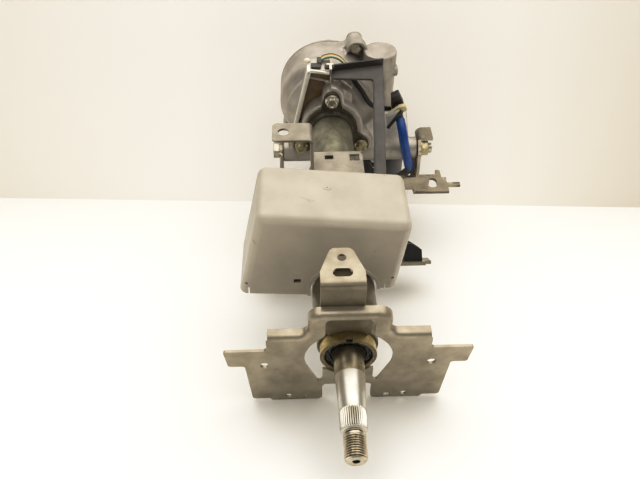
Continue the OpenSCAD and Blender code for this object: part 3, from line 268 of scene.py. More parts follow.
# Ground steel: bright, with fine rings from the wheel
GROUND_STEEL = Finish(
    "ground_steel_polished", "polished_steel", "#E0DCD2", "#CFCABE", metallic=1.0, roughness=0.4,
    spread=0.06, patch_mm=9.0, grain=Grain.TURNED, grain_mm=0.5, relief_mm=0.012, soil="#6A5B45",
    soil_share=0.12, soil_mm=5.0)
# Rolled thread: duller flanks that hold a film of oil
OILED_STEEL = Finish(
    "rolled_steel_oiled", "polished_steel", "#D8CFBE", "#B9AF9B", metallic=1.0, roughness=0.34,
    spread=0.1, patch_mm=6.0, grain=Grain.TURNED, grain_mm=0.6, relief_mm=0.01, soil="#3B3020",
    soil_share=0.3, soil_mm=3.0)
# Bearing rings under a skin of old grease
GREASED_STEEL = Finish(
    "bearing_steel_greased", "bearing_steel", "#3A3226", "#1B1712", metallic=0.6, roughness=0.3,
    spread=0.12, patch_mm=4.0, grain=Grain.CAST, grain_mm=1.4, relief_mm=0.1)
# Old grease: black, wet, with small sharp highlights
BLACK_GREASE = Finish(
    "grease_black_wet", "rubber", "#1E1910", "#100D09", roughness=0.12, spread=0.06, patch_mm=3.0,
    grain=Grain.CAST, grain_mm=3.0, relief_mm=0.12)
# Journal near the bearing, stained brown by oil
STAINED_STEEL = Finish(
    "ground_steel_oil_stained", "polished_steel", "#B8AE97", "#958A70", metallic=1.0, roughness=0.36,
    patch_mm=6.0, grain=Grain.TURNED, grain_mm=0.5, relief_mm=0.012, soil="#54462F", soil_share=0.28,
    soil_mm=4.0)
# Ground bearing steel: clean and bright, almost a mirror
HARD_STEEL = Finish(
    "bearing_steel_ground", "bearing_steel", "#BDBAB2", "#A5A198", metallic=1.0, roughness=0.2,
    spread=0.05)
# Blacked spring steel: dark, with a dull sheen from its oil
BLACK_STEEL = Finish(
    "spring_steel_blacked", "black_spring_steel", "#23211E", "#151412", metallic=0.7, roughness=0.42,
    patch_mm=5.0)
# Yellow passivated zinc: brassy and cloudy
YELLOW_STEEL = Finish(
    "steel_yellow_passivated", "yellow_sleeve", "#C2B17E", "#A09062", metallic=0.85, roughness=0.36,
    spread=0.1, patch_mm=6.0, grain=Grain.TURNED, grain_mm=0.6, relief_mm=0.012, soil="#4A3E28",
    soil_share=0.2, soil_mm=5.0)
# The sleeve's forward faces and inner rim: browned by grease, and darker as painted shade on the faces that
# look forward
GREASED_SHADED_YELLOW = Finish(
    "steel_yellow_greased_painted_shade", "yellow_sleeve", "#94866A", "#6C6048", metallic=0.6, roughness=0.36,
    spread=0.12, patch_mm=3.0, grain=Grain.CAST, grain_mm=1.4, relief_mm=0.06)
# Roots of teeth and thread, the relief and the centre hole: painted shade, dark steel where shade falls
ROOT_SHADE_STEEL = Finish(
    "rolled_steel_root_shade", "polished_steel", "#4E4637", "#352E22", metallic=0.8, roughness=0.42,
    spread=0.1, patch_mm=3.0)
# Pressed steel with dull zinc: grey-beige, cloudy, drag marks from the die
PRESSED_STEEL = Finish(
    "sheet_steel_dull_zinc", "pressed_steel", "#B2A997", "#978E7C", metallic=0.75, roughness=0.42,
    patch_mm=16.0, grain_mm=1.6, soil="#4E4434", soil_share=0.16, soil_mm=7.0)
# Upright of the tongue, under the fold: painted shade, the pressed steel made darker, with blots of dirt
SHADED_RISER_STEEL = Finish(
    "sheet_steel_riser_painted_shade", "pressed_steel", "#8D8473", "#736A59", metallic=0.75, roughness=0.44,
    grain_mm=1.6, soil="#4E4434", soil_share=0.2, soil_mm=7.0)
# Drawn tube: brownish grey and stained, with fine lines along it
TUBE_STEEL = Finish(
    "drawn_steel_tube", "tube_steel", "#8B836F", "#6F6755", metallic=0.75, roughness=0.42, patch_mm=12.0,
    grain=Grain.DRAWN, grain_mm=0.8, soil="#42392B", soil_share=0.25, soil_mm=8.0)
# Lower tube: bare steel under a grey-green film
LOWER_STEEL = Finish(
    "drawn_steel_filmed", "tube_steel", "#8C8873", "#6C6959", metallic=0.7, roughness=0.4, patch_mm=10.0,
    grain=Grain.DRAWN, grain_mm=0.8, soil="#3A3426", soil_share=0.3, soil_mm=8.0)
# Saddle: the same pressed steel, greyer, less handled
SADDLE_STEEL = Finish(
    "sheet_steel_zinc_grey", "pressed_steel", "#9C9587", "#867F72", metallic=0.7, roughness=0.4,
    grain_mm=1.6, soil="#4E4638", soil_share=0.14, soil_mm=7.0)
# Flange and collar: dark brown-grey with a rough, dry skin
DARK_STEEL = Finish(
    "flange_steel_dark", "dark_steel", "#575041", "#3F392D", metallic=0.5, roughness=0.55, spread=0.1,
    patch_mm=8.0, grain=Grain.CAST, grain_mm=1.5, relief_mm=0.05)
# Die-cast aluminium: pale warm grey with a fine cast skin and stains
CAST_ALUMINIUM = Finish(
    "aluminium_die_cast", "cast_aluminium", "#B9B3AA", "#A19A90", metallic=0.7, spread=0.09,
    patch_mm=18.0, grain=Grain.CAST, grain_mm=1.1, relief_mm=0.05, soil="#5F5543", soil_share=0.2,
    soil_mm=12.0)
# Edges of the pocket's walls: painted highlight, pale bright aluminium where light catches them
HIGHLIGHT_ALUMINIUM = Finish(
    "aluminium_painted_highlight", "cast_aluminium", "#E8E5DC", "#D6D2C7", metallic=0.5, roughness=0.38,
    patch_mm=9.0, grain=Grain.CAST, grain_mm=0.9, relief_mm=0.03)
# Bolts in yellow zinc: straw-coloured and cloudy, dirty in the corners
YELLOW_ZINC = Finish(
    "bolt_steel_yellow_zinc", "zinc_fastener", "#B5AB8C", "#8F866B", metallic=0.8, roughness=0.38,
    spread=0.1, patch_mm=4.0, grain=Grain.TURNED, grain_mm=0.6, relief_mm=0.01, soil="#4A3F2B",
    soil_share=0.3, soil_mm=4.0)
# Bolts in bright zinc: silvery, with a sharper shine
BRIGHT_ZINC = Finish(
    "bolt_steel_bright_zinc", "zinc_fastener", "#C4BFB2", "#9D9788", metallic=0.9, roughness=0.32,
    spread=0.1, patch_mm=4.0, grain=Grain.TURNED, grain_mm=0.6, relief_mm=0.01, soil="#4A4234",
    soil_share=0.2, soil_mm=4.0)
# Moulded polypropylene: cream, softly shiny, scuffed and dusty
CREAM_PLASTIC = Finish(
    "polypropylene_moulded_cream", "cover_plastic", "#C1B9AA", "#B6AE9F", roughness=0.42, spread=0.07,
    patch_mm=24.0, grain=Grain.MOULDED, grain_mm=0.9, relief_mm=0.015, soil="#93815F", soil_share=0.26,
    soil_mm=14.0)
# Grey nylon: matt, with a little pale dust
GUIDE_PLASTIC = Finish(
    "nylon_moulded_grey", "guide_plastic", "#504A44", "#443F39", spread=0.07, grain=Grain.MOULDED,
    grain_mm=0.8, soil="#7C7466", soil_share=0.1, soil_mm=8.0)
# Black nylon: deep and even, softly shiny
BLACK_PLASTIC = Finish(
    "nylon_moulded_black", "black_plastic", "#2B2925", "#1C1A17", roughness=0.45, spread=0.07,
    patch_mm=8.0, grain=Grain.MOULDED, grain_mm=0.7)
# Dark grey nylon: matt, a shade under the guide's own grey
DARK_PLASTIC = Finish(
    "nylon_moulded_dark_grey", "guide_plastic", "#3C3734", "#312D2A", spread=0.07, patch_mm=10.0,
    grain=Grain.MOULDED, grain_mm=0.8)
# Light grey polyester of a plug: even and smooth
GREY_PLASTIC = Finish(
    "polybutylene_moulded_grey", "guide_plastic", "#A9A79F", "#94928A", roughness=0.45, spread=0.07,
    patch_mm=8.0, grain=Grain.MOULDED, grain_mm=0.7)
# White nylon: small clips that catch the light
WHITE_NYLON = Finish(
    "nylon_moulded_white", "guide_plastic", "#E4DDCE", "#D6CEBC", roughness=0.42, spread=0.06)
# Natural nylon: warm ivory, faintly waxy
NATURAL_NYLON = Finish("nylon_cast_natural", "resin", "#D6C9A4", "#C2B48C", roughness=0.4, spread=0.06)
# Potting resin: brown and cloudy, poured flat
POTTING = Finish(
    "potting_resin_brown", "sensor_resin", "#7C674A", "#5C4B35", roughness=0.42, spread=0.1, patch_mm=9.0)
# Lacquered copper wire: a warm red-brown shine
COPPER = Finish(
    "copper_lacquered", "copper", "#A8612F", "#83481F", metallic=0.9, roughness=0.35, patch_mm=3.0)
# Painted motor can: black, with a fine uneven skin
BLACK_PAINT = Finish(
    "steel_black_painted", "motor_can", "#2A2825", "#1E1C1A", roughness=0.4, patch_mm=16.0,
    grain=Grain.CAST, grain_mm=0.8)
# Moulded rubber: black and matt
BLACK_RUBBER = Finish(
    "rubber_moulded_black", "rubber", "#26241F", "#191815", roughness=0.6, spread=0.06, patch_mm=6.0)
# Vinyl tape: strong blue, shiny, wrinkled where it is wound
BLUE_TAPE = Finish(
    "vinyl_tape_blue", "blue_tape", "#174F9C", "#113E80", roughness=0.36, patch_mm=6.0, grain=Grain.CAST,
    grain_mm=3.5, relief_mm=0.25)
# Braided sleeve: dull grey
SLEEVING = Finish(
    "braided_sleeve_grey", "blue_tape", "#6B665C", "#57534A", roughness=0.6, spread=0.06, patch_mm=3.0)
# Insulation of the four sensor wires: green, ivory, straw and red-brown
WIRE_COLOURS = ("#4E7F52", "#D9D2C0", "#C9B46A", "#7A3226")


def wire_finish(colour: str) -> Finish:
    """Gives the finish of one insulated wire.

    Args:
        colour: Colour of the insulation.

    Returns:
        The finish.
    """
    return Finish(f"wire_pvc_{colour[1:].lower()}", "wire", colour, colour, roughness=0.4, spread=0.05)


@dataclass
class Piece:
    """A mesh in the column frame, in millimetres, on its way to becoming a finished object."""

    name: str
    verts: list[Point3] = field(default_factory=list)
    faces: list[Sequence[int]] = field(default_factory=list)

    def extend(self, verts: Sequence[Point3], faces: Sequence[Sequence[int]]) -> None:
        """Adds vertices and the faces that use them.

        Args:
            verts: New points.
            faces: Corners of the new faces, counted from the first new point.
        """
        base = len(self.verts)
        self.verts.extend(tuple(v) for v in verts)
        self.faces.extend([i + base for i in f] for f in faces)

    def gain(self, *forms: Form) -> Piece:
        """Adds several forms.

        Args:
            *forms: Points and faces of each form.

        Returns:
            The piece itself.
        """
        for verts, faces in forms:
            self.extend(verts, faces)
        return self

    def mesh(self, merge: float = CAD_MERGE, outward: bool = False) -> bpy.types.Mesh:
        """Makes the mesh, still in the column frame.

        Args:
            merge: Distance under which points become one.
            outward: Whether normals are recalculated to point outwards.

        Returns:
            The mesh in millimetres.
        """
        made = bpy.data.meshes.new(self.name)
        made.from_pydata([tuple(v) for v in self.verts], [], [list(f) for f in self.faces])
        work = bmesh.new()
        work.from_mesh(made)
        bmesh.ops.remove_doubles(work, verts=work.verts, dist=merge)
        if outward:
            bmesh.ops.recalc_face_normals(work, faces=work.faces)
        work.to_mesh(made)
        work.free()
        return made


def settle(mesh: bpy.types.Mesh, body: str, finish: Finish, nodes: Sequence[str] = (),
           modifiers: Sequence[tuple[str, dict]] = (), smooth: float = 35.0) -> bpy.types.Object:
    """Turns a column-frame mesh into a finished object that rides on a body.

    Args:
        mesh: Mesh in millimetres in the column frame.
        body: CAD body that carries it.
        finish: Its finish.
        nodes: CAD nodes that it stands for.
        modifiers: Modifier types with their settings, applied in order.
        smooth: Angle in degrees under which edges are shaded smooth.

    Returns:
        The object.
    """
    mesh.materials.clear()
    mesh.materials.append(finish.material())
    obj = bpy.data.objects.new(mesh.name, mesh)
    bpy.context.scene.collection.objects.link(obj)
    mesh.polygons.foreach_set("use_smooth", [True] * len(mesh.polygons))
    for kind, settings in modifiers:
        modifier = obj.modifiers.new(kind.lower(), kind)
        for name, value in settings.items():
            setattr(modifier, name, value)
    if modifiers:
        graph = bpy.context.evaluated_depsgraph_get()
        plain = bpy.data.meshes.new_from_object(obj.evaluated_get(graph))
        obj.modifiers.clear()
        obj.data = plain
        plain.name = mesh.name
    obj.data.transform(TO_ROW)
    obj.data.polygons.foreach_set("use_smooth", [True] * len(obj.data.polygons))
    obj.data.set_sharp_from_angle(angle=math.radians(smooth))
    obj.data.update()
    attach(obj, body)
    if nodes:
        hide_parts(*nodes)
    LOG.info("%s: %d faces on %s", obj.name, len(obj.data.polygons), body)
    return obj


def bevel(width: float, segments: int = 2, angle: float = 32.0) -> tuple[str, dict]:
    """Gives the settings that round a piece's sharp edges.

    Args:
        width: Width of the rounding in millimetres.
        segments: Number of facets over it.
        angle: Smallest angle of an edge that is rounded, in degrees.

    Returns:
        Modifier type and settings.
    """
    return ("BEVEL", {"width": width, "segments": segments, "limit_method": "ANGLE",
                      "miter_outer": "MITER_ARC", "angle_limit": math.radians(angle),
                      "use_clamp_overlap": True, "harden_normals": False})


def solid(name: str, finish: Finish, *forms: Form, nodes: Sequence[str] = (), width: float = 0.0,
          smooth: float = EVEN, body: str = COLUMN) -> bpy.types.Object:
    """Makes a finished piece of closed forms.

    Args:
        name: Name of the piece.
        finish: Its finish.
        *forms: Points and faces of each form.
        nodes: CAD nodes that it stands for.
        width: Width of the rounded edges in millimetres; 0 leaves them sharp.
        smooth: Angle in degrees under which edges are shaded smooth.
        body: Body that carries it.

    Returns:
        The object.
    """
    mesh = Piece(name).gain(*forms).mesh(FORM_MERGE, True)
    return settle(mesh, body, finish, nodes, [bevel(width)] if width else (), smooth)


def carved(mesh: bpy.types.Mesh, tool: Piece, operation: Carve) -> bpy.types.Mesh:
    """Cuts a form out of a mesh or joins it on.

    Args:
        mesh: Closed mesh in the column frame.
        tool: Closed forms that cut or join.
        operation: Whether they cut or join.

    Returns:
        The new mesh.
    """
    pair = [bpy.data.objects.new(name, data)
            for name, data in (("carved_form", mesh), ("carving_tool", tool.mesh(FORM_MERGE, True)))]
    for obj in pair:
        bpy.context.scene.collection.objects.link(obj)
    modifier = pair[0].modifiers.new("carve", "BOOLEAN")
    modifier.operation, modifier.object, modifier.solver = operation.value, pair[1], "EXACT"
    made = bpy.data.meshes.new_from_object(pair[0].evaluated_get(bpy.context.evaluated_depsgraph_get()))
    for obj in pair:
        bpy.data.objects.remove(obj)
    return made


def tint(obj: bpy.types.Object, finish: Finish, where: Callable[[Vector, Vector], bool]) -> None:
    """Gives some faces of a finished piece another finish.

    Args:
        obj: The piece.
        finish: The other finish.
        where: Tells from a face's centre and normal in the column frame whether it takes it.
    """
    obj.data.materials.append(finish.material())
    number = len(obj.data.materials) - 1
    turn = FROM_ROW.to_3x3().normalized()
    for face in obj.data.polygons:
        if where(FROM_ROW @ face.center, turn @ face.normal):
            face.material_index = number


# Keeps broad flat faces flat beside their rounded edges
FLAT_FACES = ("WEIGHTED_NORMAL", {"keep_sharp": True, "weight": 60})


@dataclass
class Frame:
    """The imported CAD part."""

    data: dict

    def column_mesh(self, node: str, name: str) -> bpy.types.Mesh:
        """Copies a CAD node's mesh into the column frame, merged and with its flat faces joined.

        Args:
            node: Name of the node.
            name: Name of the copy.

        Returns:
            The mesh in millimetres.
        """
        mesh = self.data["nodes"][node].data.copy()
        mesh.name = name
        mesh.transform(FROM_ROW)
        work = bmesh.new()
        work.from_mesh(mesh)
        bmesh.ops.remove_doubles(work, verts=work.verts, dist=CAD_MERGE)
        bmesh.ops.dissolve_limit(work, angle_limit=math.radians(FLAT_ANGLE), verts=work.verts,
                                 edges=work.edges)
        for edge in work.edges:
            edge.smooth = True
        work.to_mesh(mesh)
        work.free()
        for name_left in ("custom_normal", "sharp_edge"):
            layer = mesh.attributes.get(name_left)
            if layer:
                mesh.attributes.remove(layer)
        return mesh

    def body_of(self, node: str) -> str:
        """Gives the body that a node belongs to."""
        return next(b for b, members in self.data["record"]["behaviour"]["bodies"].items() if node in members)

    def dress(self, node: str, finish: Finish, width: float = 0.4, segments: int = 2) -> bpy.types.Object:
        """Stands a copy of a CAD node with rounded edges and its finish in the node's place.

        Args:
            node: Name of the node.
            finish: Its finish.
            width: Width of the rounded edges in millimetres; 0 leaves them sharp.
            segments: Facets over the rounding.

        Returns:
            The object.
        """
        mesh = self.column_mesh(node, f"{node}_piece")
        modifiers = [bevel(width, segments), FLAT_FACES] if width else []
        return settle(mesh, self.body_of(node), finish, [node], modifiers)

    def cast(self, node: str, finish: Finish, extra: Piece | None = None, pockets: Piece | None = None,
             voxel: float = 1.0, rounds: int = 5) -> bpy.types.Object:
        """Stands a casting with filleted edges in a CAD node's place.

        Args:
            node: Name of the node.
            finish: Its finish.
            extra: Ribs, pads and bosses that the casting gains.
            pockets: Forms that are cut away before.
            voxel: Size of the cells that melt the forms into one skin, in millimetres.
            rounds: Rounds of smoothing, which set the fillets.

        Returns:
            The object.
        """
        base = self.column_mesh(node, f"{node}_base")
        work = bmesh.new()
        work.from_mesh(carved(base, pockets, Carve.CUT) if pockets else base)
        if extra:
            work.from_mesh(extra.mesh(outward=True))
        mesh = bpy.data.meshes.new(f"{node}_piece")
        bmesh.ops.triangulate(work, faces=work.faces)
        work.to_mesh(mesh)
        work.free()
        modifiers = [("REMESH", {"mode": "VOXEL", "voxel_size": voxel, "use_smooth_shade": True}),
                     ("SMOOTH", {"factor": 0.5, "iterations": rounds})]
        return settle(mesh, self.body_of(node), finish, [node], modifiers, SEAMLESS)


# Shapes


def arc(centre: Point2, radius: float, start: float, end: float, steps: int = 8) -> list[Point2]:
    """Gives points on an arc.

    Args:
        centre: Centre of the arc.
        radius: Its radius.
        start: Angle of the first point in degrees.
        end: Angle of the last point in degrees.
        steps: Number of steps between them.

    Returns:
        The points.
    """
    angles = [math.radians(start + (end - start) * i / steps) for i in range(steps + 1)]
    return [(centre[0] + radius * math.cos(a), centre[1] + radius * math.sin(a)) for a in angles]


def circle(centre: Point2, radius: float, steps: int = 32) -> list[Point2]:
    """Gives a closed ring of points."""
    return arc(centre, radius, 0, 360, steps)[:-1]


def turned(rows: Sequence[tuple[float, float | Callable[[float], float]]], steps: int = 96) -> Form:
    """Turns a profile about the column's axis.

    Args:
        rows: Station along the axis with its radius, or with a function that gives the radius at an angle.
        steps: Facets round the axis.

    Returns:
        Points and faces.
    """
    angles = [2 * math.pi * k / steps for k in range(steps)]
    verts = []
    for y, radius in rows:
        radii = [radius(a) if callable(radius) else radius for a in angles]
        verts += [(r * math.sin(a), y, r * math.cos(a)) for r, a in zip(radii, angles)]
    faces = [[i + k, i + (k + 1) % steps, i + steps + (k + 1) % steps, i + steps + k]
             for i in range(0, (len(rows) - 1) * steps, steps) for k in range(steps)]
    return verts, faces


def moved(form: Form, place: Point3) -> Form:
    """Moves a form to a place.

    Args:
        form: Points and faces.
        place: Where its origin goes.

    Returns:
        Points and faces.
    """
    verts, faces = form
    return [(place[0] + x, place[1] + y, place[2] + z) for x, y, z in verts], faces


def prism(outline: Sequence[Point2], low: float, high: float, axis: Along = Along.Y) -> Form:
    """Gives a block with a drawn outline.

    Args:
        outline: Outline in the two other directions, in X, Y, Z order.
        low: Station of its first face.
        high: Station of its last face.
        axis: Direction in which it is drawn out.

    Returns:
        Points and faces.
    """
    count = len(outline)
    verts = [(a, t, b) if axis is Along.Y else (a, b, t) for t in (low, high) for a, b in outline]
    sides = [[k, (k + 1) % count, count + (k + 1) % count, count + k] for k in range(count)]
    return verts, sides + [list(range(count))[::-1], list(range(count, 2 * count))]


def box(low: Point3, high: Point3) -> Form:
    """Gives a block between two corners.

    Args:
        low: Lowest corner.
        high: Highest corner.

    Returns:
        Points and faces.
    """
    verts = [(x, y, z) for x in (low[0], high[0]) for y in (low[1], high[1]) for z in (low[2], high[2])]
    return verts, [[0, 1, 3, 2], [4, 6, 7, 5], [0, 4, 5, 1], [2, 3, 7, 6], [0, 2, 6, 4], [1, 5, 7, 3]]


def drum(centre: Point3, axis: Point3, radius: float, length: float, steps: int = 32,
         top: float | None = None) -> Form:
    """Gives a cylinder or a cone.

    Args:
        centre: Centre of its first end.
        axis: Direction of its axis.
        radius: Radius at the first end.
        length: Length along the axis.
        steps: Facets round it.
        top: Radius at the far end, if it differs.

    Returns:
        Points and faces.
    """
    turn = Vector(axis).to_track_quat("Z", "Y")
    far = radius if top is None else top
    angles = [2 * math.pi * k / steps for k in range(steps)]
    verts = [tuple(Vector(centre) + turn @ Vector((r * math.cos(a), r * math.sin(a), z)))
             for r, z in ((radius, 0.0), (far, length)) for a in angles]
    sides = [[k, (k + 1) % steps, steps + (k + 1) % steps, steps + k] for k in range(steps)]
    return verts, sides + [list(range(steps))[::-1], list(range(steps, 2 * steps))]


def encloses(loop: Sequence[Point2], p: Vector) -> bool:
    """Tells whether a loop goes round a point.

    Args:
        loop: Points of the loop.
        p: The point.

    Returns:
        True for a point inside the loop.
    """
    inside = False
    for (ax, ay), (bx, by) in zip(loop, (*loop[1:], loop[0])):
        if (ay > p.y) != (by > p.y) and p.x < (bx - ax) * (p.y - ay) / (by - ay) + ax:
            inside = not inside
    return inside


def filled(outline: Sequence[Point2], holes: Sequence[Sequence[Point2]],
           cuts: Sequence[tuple[Point2, Point2]] = ()) -> tuple[list[Point2], list[list[int]]]:
    """Fills an outline that has holes.

    Args:
        outline: Points of the outline.
        holes: Points of each hole.
        cuts: Lines that the fill keeps as edges.

    Returns:
        Points and triangles, in the plane.
    """
    points: list[Vector] = []
    edges: list[tuple[int, int]] = []
    for loop in (outline, *holes):
        base = len(points)
        points.extend(Vector(p) for p in loop)
        edges.extend((base + i, base + (i + 1) % len(loop)) for i in range(len(loop)))
    for a, b in cuts:
        edges.append((len(points), len(points) + 1))
        points.extend((Vector(a), Vector(b)))
    found, _, faces, *_ = delaunay_2d_cdt(points, edges, [], 0, FILL_MERGE)
    kept = []
    for face in faces:
        middle = sum((found[i] for i in face), Vector((0, 0))) / len(face)
        if encloses(outline, middle) and not any(encloses(h, middle) for h in holes):
            kept.append(list(face))
    return [(p.x, p.y) for p in found], kept


@dataclass
class FoldedSheet:
    """A pressed sheet: a flat pattern that is folded along parallel lines.

    The pattern's u runs along the fold lines and v across them.
    Each fold has the v of its start, its outer radius, its degrees and its sense.
    """

    name: str
    outline: list[Point2]
    holes: list[list[Point2]]
    folds: list[tuple[float, float, float, Fold]]
    place: Callable[[float, float, float], Point3]
    steps: int = 7

    def bent(self, v: float) -> Point2:
        """Follows the folded strip to a station.

        Args:
            v: Distance along the flat pattern.

        Returns:
            Place along and across the unfolded sheet's plane.
        """
        x = y = angle = 0.0
        at = 0.0
        for start, radius, degrees, sense in self.folds:
            straight = min(v, start) - at
            x, y = x + straight * math.cos(angle), y + straight * math.sin(angle)
            at = min(v, start)
            if v <= start:
                return x, y
            length = radius * math.radians(degrees)
            turn = math.radians(degrees) * min((v - start) / length, 1.0) * sense.value
            side = angle + math.pi / 2 * sense.value
            cx, cy = x + radius * math.cos(side), y + radius * math.sin(side)
            x, y = cx - radius * math.cos(side + turn), cy - radius * math.sin(side + turn)
            angle += turn
            at = min(v, start + length)
            if v <= start + length:
                return x, y
        return x + (v - at) * math.cos(angle), y + (v - at) * math.sin(angle)

    def piece(self) -> Piece:
        """Cuts and folds the sheet.

        Returns:
            The sheet's outer face.
        """
        us = [p[0] for p in self.outline]
        low, high = min(us) - 1, max(us) + 1
        cuts = []
        for start, radius, degrees, _ in self.folds:
            length = radius * math.radians(degrees)
            cuts += [((low, start + length * i / self.steps), (high, start + length * i / self.steps))
                     for i in range(self.steps + 1)]
        flat, faces = filled(self.outline, self.holes, cuts)
        made = Piece(self.name)
        made.extend([self.place(u, *self.bent(v)) for u, v in flat], faces)
        return made


def pressed(piece: Piece, finish: Finish, node: str, thickness: float, outer: Vector) -> bpy.types.Object:
    """Gives the face of a pressed sheet its thickness and settles it.

    Args:
        piece: The sheet's outer face.
        finish: Its finish.
        node: CAD node that it stands for.
        thickness: Thickness of the sheet.
        outer: Direction in which the outer face mostly looks.

    Returns:
        The object.
    """
    mesh = piece.mesh(SEAM_MERGE)
    work = bmesh.new()
    work.from_mesh(mesh)
    bmesh.ops.recalc_face_normals(work, faces=work.faces)
    if sum(f.normal.dot(outer) * f.calc_area() for f in work.faces) < 0:
        bmesh.ops.reverse_faces(work, faces=work.faces)
    work.to_mesh(mesh)
    work.free()
    thicken = ("SOLIDIFY", {"thickness": thickness, "offset": -1.0, "use_even_offset": True})
    return settle(mesh, COLUMN, finish, [node], [thicken, bevel(0.35, angle=EVEN), FLAT_FACES], EVEN)


# Geometry Nodes


def group_of(name: str, sockets: Sequence[tuple[str, str, object]],
             ) -> tuple[bpy.types.NodeTree, dict, bpy.types.Node]:
    """Starts a Geometry Nodes group with named inputs.

    Args:
        name: Name of the group.
        sockets: Name, socket type and starting value of each input after the geometry.

    Returns:
        The tree, its input sockets by name, and its output node.
    """
    tree = bpy.data.node_groups.new(name, "GeometryNodeTree")
    tree.interface.new_socket("Geometry", in_out="INPUT", socket_type="NodeSocketGeometry")
    for label, kind, value in sockets:
        made = tree.interface.new_socket(label, in_out="INPUT", socket_type=kind)
        if value is not None:
            made.default_value = value
    tree.interface.new_socket("Geometry", in_out="OUTPUT", socket_type="NodeSocketGeometry")
    entry = add(tree, "NodeGroupInput")
    return tree, {s.name: s for s in entry.outputs}, add(tree, "NodeGroupOutput")


def sweep_tree() -> bpy.types.NodeTree:
    """Gives the group that sweeps a round section along a path.

    Returns:
        The tree.
    """
    found = bpy.data.node_groups.get("round_sweep")
    if found:
        return found
    tree, take, out = group_of("round_sweep", [
        ("Radius", "NodeSocketFloat", 1.0), ("Sides", "NodeSocketInt", 12),
        ("Spacing", "NodeSocketFloat", 1.0), ("Material", "NodeSocketMaterial", None)])
    path = add(tree, "GeometryNodeMeshToCurve", None, {0: take["Geometry"]}).outputs[0]
    spline = add(tree, "GeometryNodeCurveSplineType", {"spline_type": "CATMULL_ROM"}, {0: path}).outputs[0]
    even = add(tree, "GeometryNodeResampleCurve", {"mode": "LENGTH"},
               {"Curve": spline, "Length": take["Spacing"]}).outputs[0]
    ring = add(tree, "GeometryNodeCurvePrimitiveCircle", None,
               {"Resolution": take["Sides"], "Radius": take["Radius"]}).outputs[0]
    skin = add(tree, "GeometryNodeCurveToMesh", None,
               {"Curve": even, "Profile Curve": ring, "Fill Caps": True}).outputs[0]
    real = add(tree, "GeometryNodeRealizeInstances", None, {0: skin}).outputs[0]
    add_to = add(tree, "GeometryNodeSetMaterial", None, {0: real, "Material": take["Material"]}).outputs[0]
    tree.links.new(add_to, out.inputs[0])
    return tree


def ring_tree() -> bpy.types.NodeTree:
    """Gives the group that repeats a piece round the column's axis.

    Returns:
        The tree.
    """
    found = bpy.data.node_groups.get("ring_of_pieces")
    if found:
        return found
    tree, take, out = group_of("ring_of_pieces", [
        ("Count", "NodeSocketInt", 8), ("Material", "NodeSocketMaterial", None)])
    points = add(tree, "GeometryNodePoints", None, {"Count": take["Count"]}).outputs[0]
    index = add(tree, "GeometryNodeInputIndex").outputs[0]
    step = add(tree, "ShaderNodeMath", {"operation": "DIVIDE"}, {0: 2 * math.pi, 1: take["Count"]}).outputs[0]
    angle = add(tree, "ShaderNodeMath", {"operation": "MULTIPLY"}, {0: index, 1: step}).outputs[0]
    turn = add(tree, "ShaderNodeCombineXYZ", None, {"Y": angle}).outputs[0]
    rotation = add(tree, "FunctionNodeEulerToRotation", None, {0: turn}).outputs[0]
    many = add(tree, "GeometryNodeInstanceOnPoints", None,
               {"Points": points, "Instance": take["Geometry"], "Rotation": rotation}).outputs[0]
    real = add(tree, "GeometryNodeRealizeInstances", None, {0: many}).outputs[0]
    add_to = add(tree, "GeometryNodeSetMaterial", None, {0: real, "Material": take["Material"]}).outputs[0]
    tree.links.new(add_to, out.inputs[0])
    return tree


def grown(mesh: bpy.types.Mesh, tree: bpy.types.NodeTree, values: dict) -> bpy.types.Mesh:
    """Runs a Geometry Nodes group on a mesh.

    Args:
        mesh: Mesh that goes in.
        tree: The group.
        values: Values of its inputs by name.

    Returns:
        The plain mesh that comes out.
    """
    obj = bpy.data.objects.new(mesh.name, mesh)
    bpy.context.scene.collection.objects.link(obj)
    modifier = obj.modifiers.new("grow", "NODES")
    modifier.node_group = tree
    for item in tree.interface.items_tree:
        if item.in_out == "INPUT" and item.name in values:
            modifier[item.identifier] = values[item.name]
    graph = bpy.context.evaluated_depsgraph_get()
    plain = bpy.data.meshes.new_from_object(obj.evaluated_get(graph))
    obj.modifiers.clear()
    bpy.data.objects.remove(obj)
    return plain


def swept(name: str, points: Sequence[Point3], radius: float, finish: Finish, nodes: Sequence[str] = (),
          sides: int = 14, spacing: float = 1.0) -> bpy.types.Object:
    """Makes a cord along a smooth path on the column.

    Args:
        name: Name of the piece.
        points: Path in the column frame.
        radius: Radius of the cord.
        finish: Its finish.
        nodes: CAD nodes that it stands for.
        sides: Facets round it.
        spacing: Distance between its rings.

    Returns:
        The object.
    """
    path = bpy.data.meshes.new(name)
    path.from_pydata([tuple(p) for p in points], [(i, i + 1) for i in range(len(points) - 1)], [])
    plain = grown(path, sweep_tree(), {"Radius": radius, "Sides": sides, "Spacing": spacing,
                                       "Material": finish.material()})
    plain.name = name
    return settle(plain, COLUMN, finish, nodes, smooth=ROUND)


# Sub-assemblies


def hexagon(flat: float, corner: float) -> Callable[[float], float]:
    """Gives the radius of a hexagon with blunted corners as a function of the angle.

    Args:
        flat: Distance from the axis to a flat.
        corner: Largest radius.

    Returns:
        The function.
    """
    return lambda a: min(flat / math.cos((a + math.pi / 6) % (math.pi / 3) - math.pi / 6), corner)


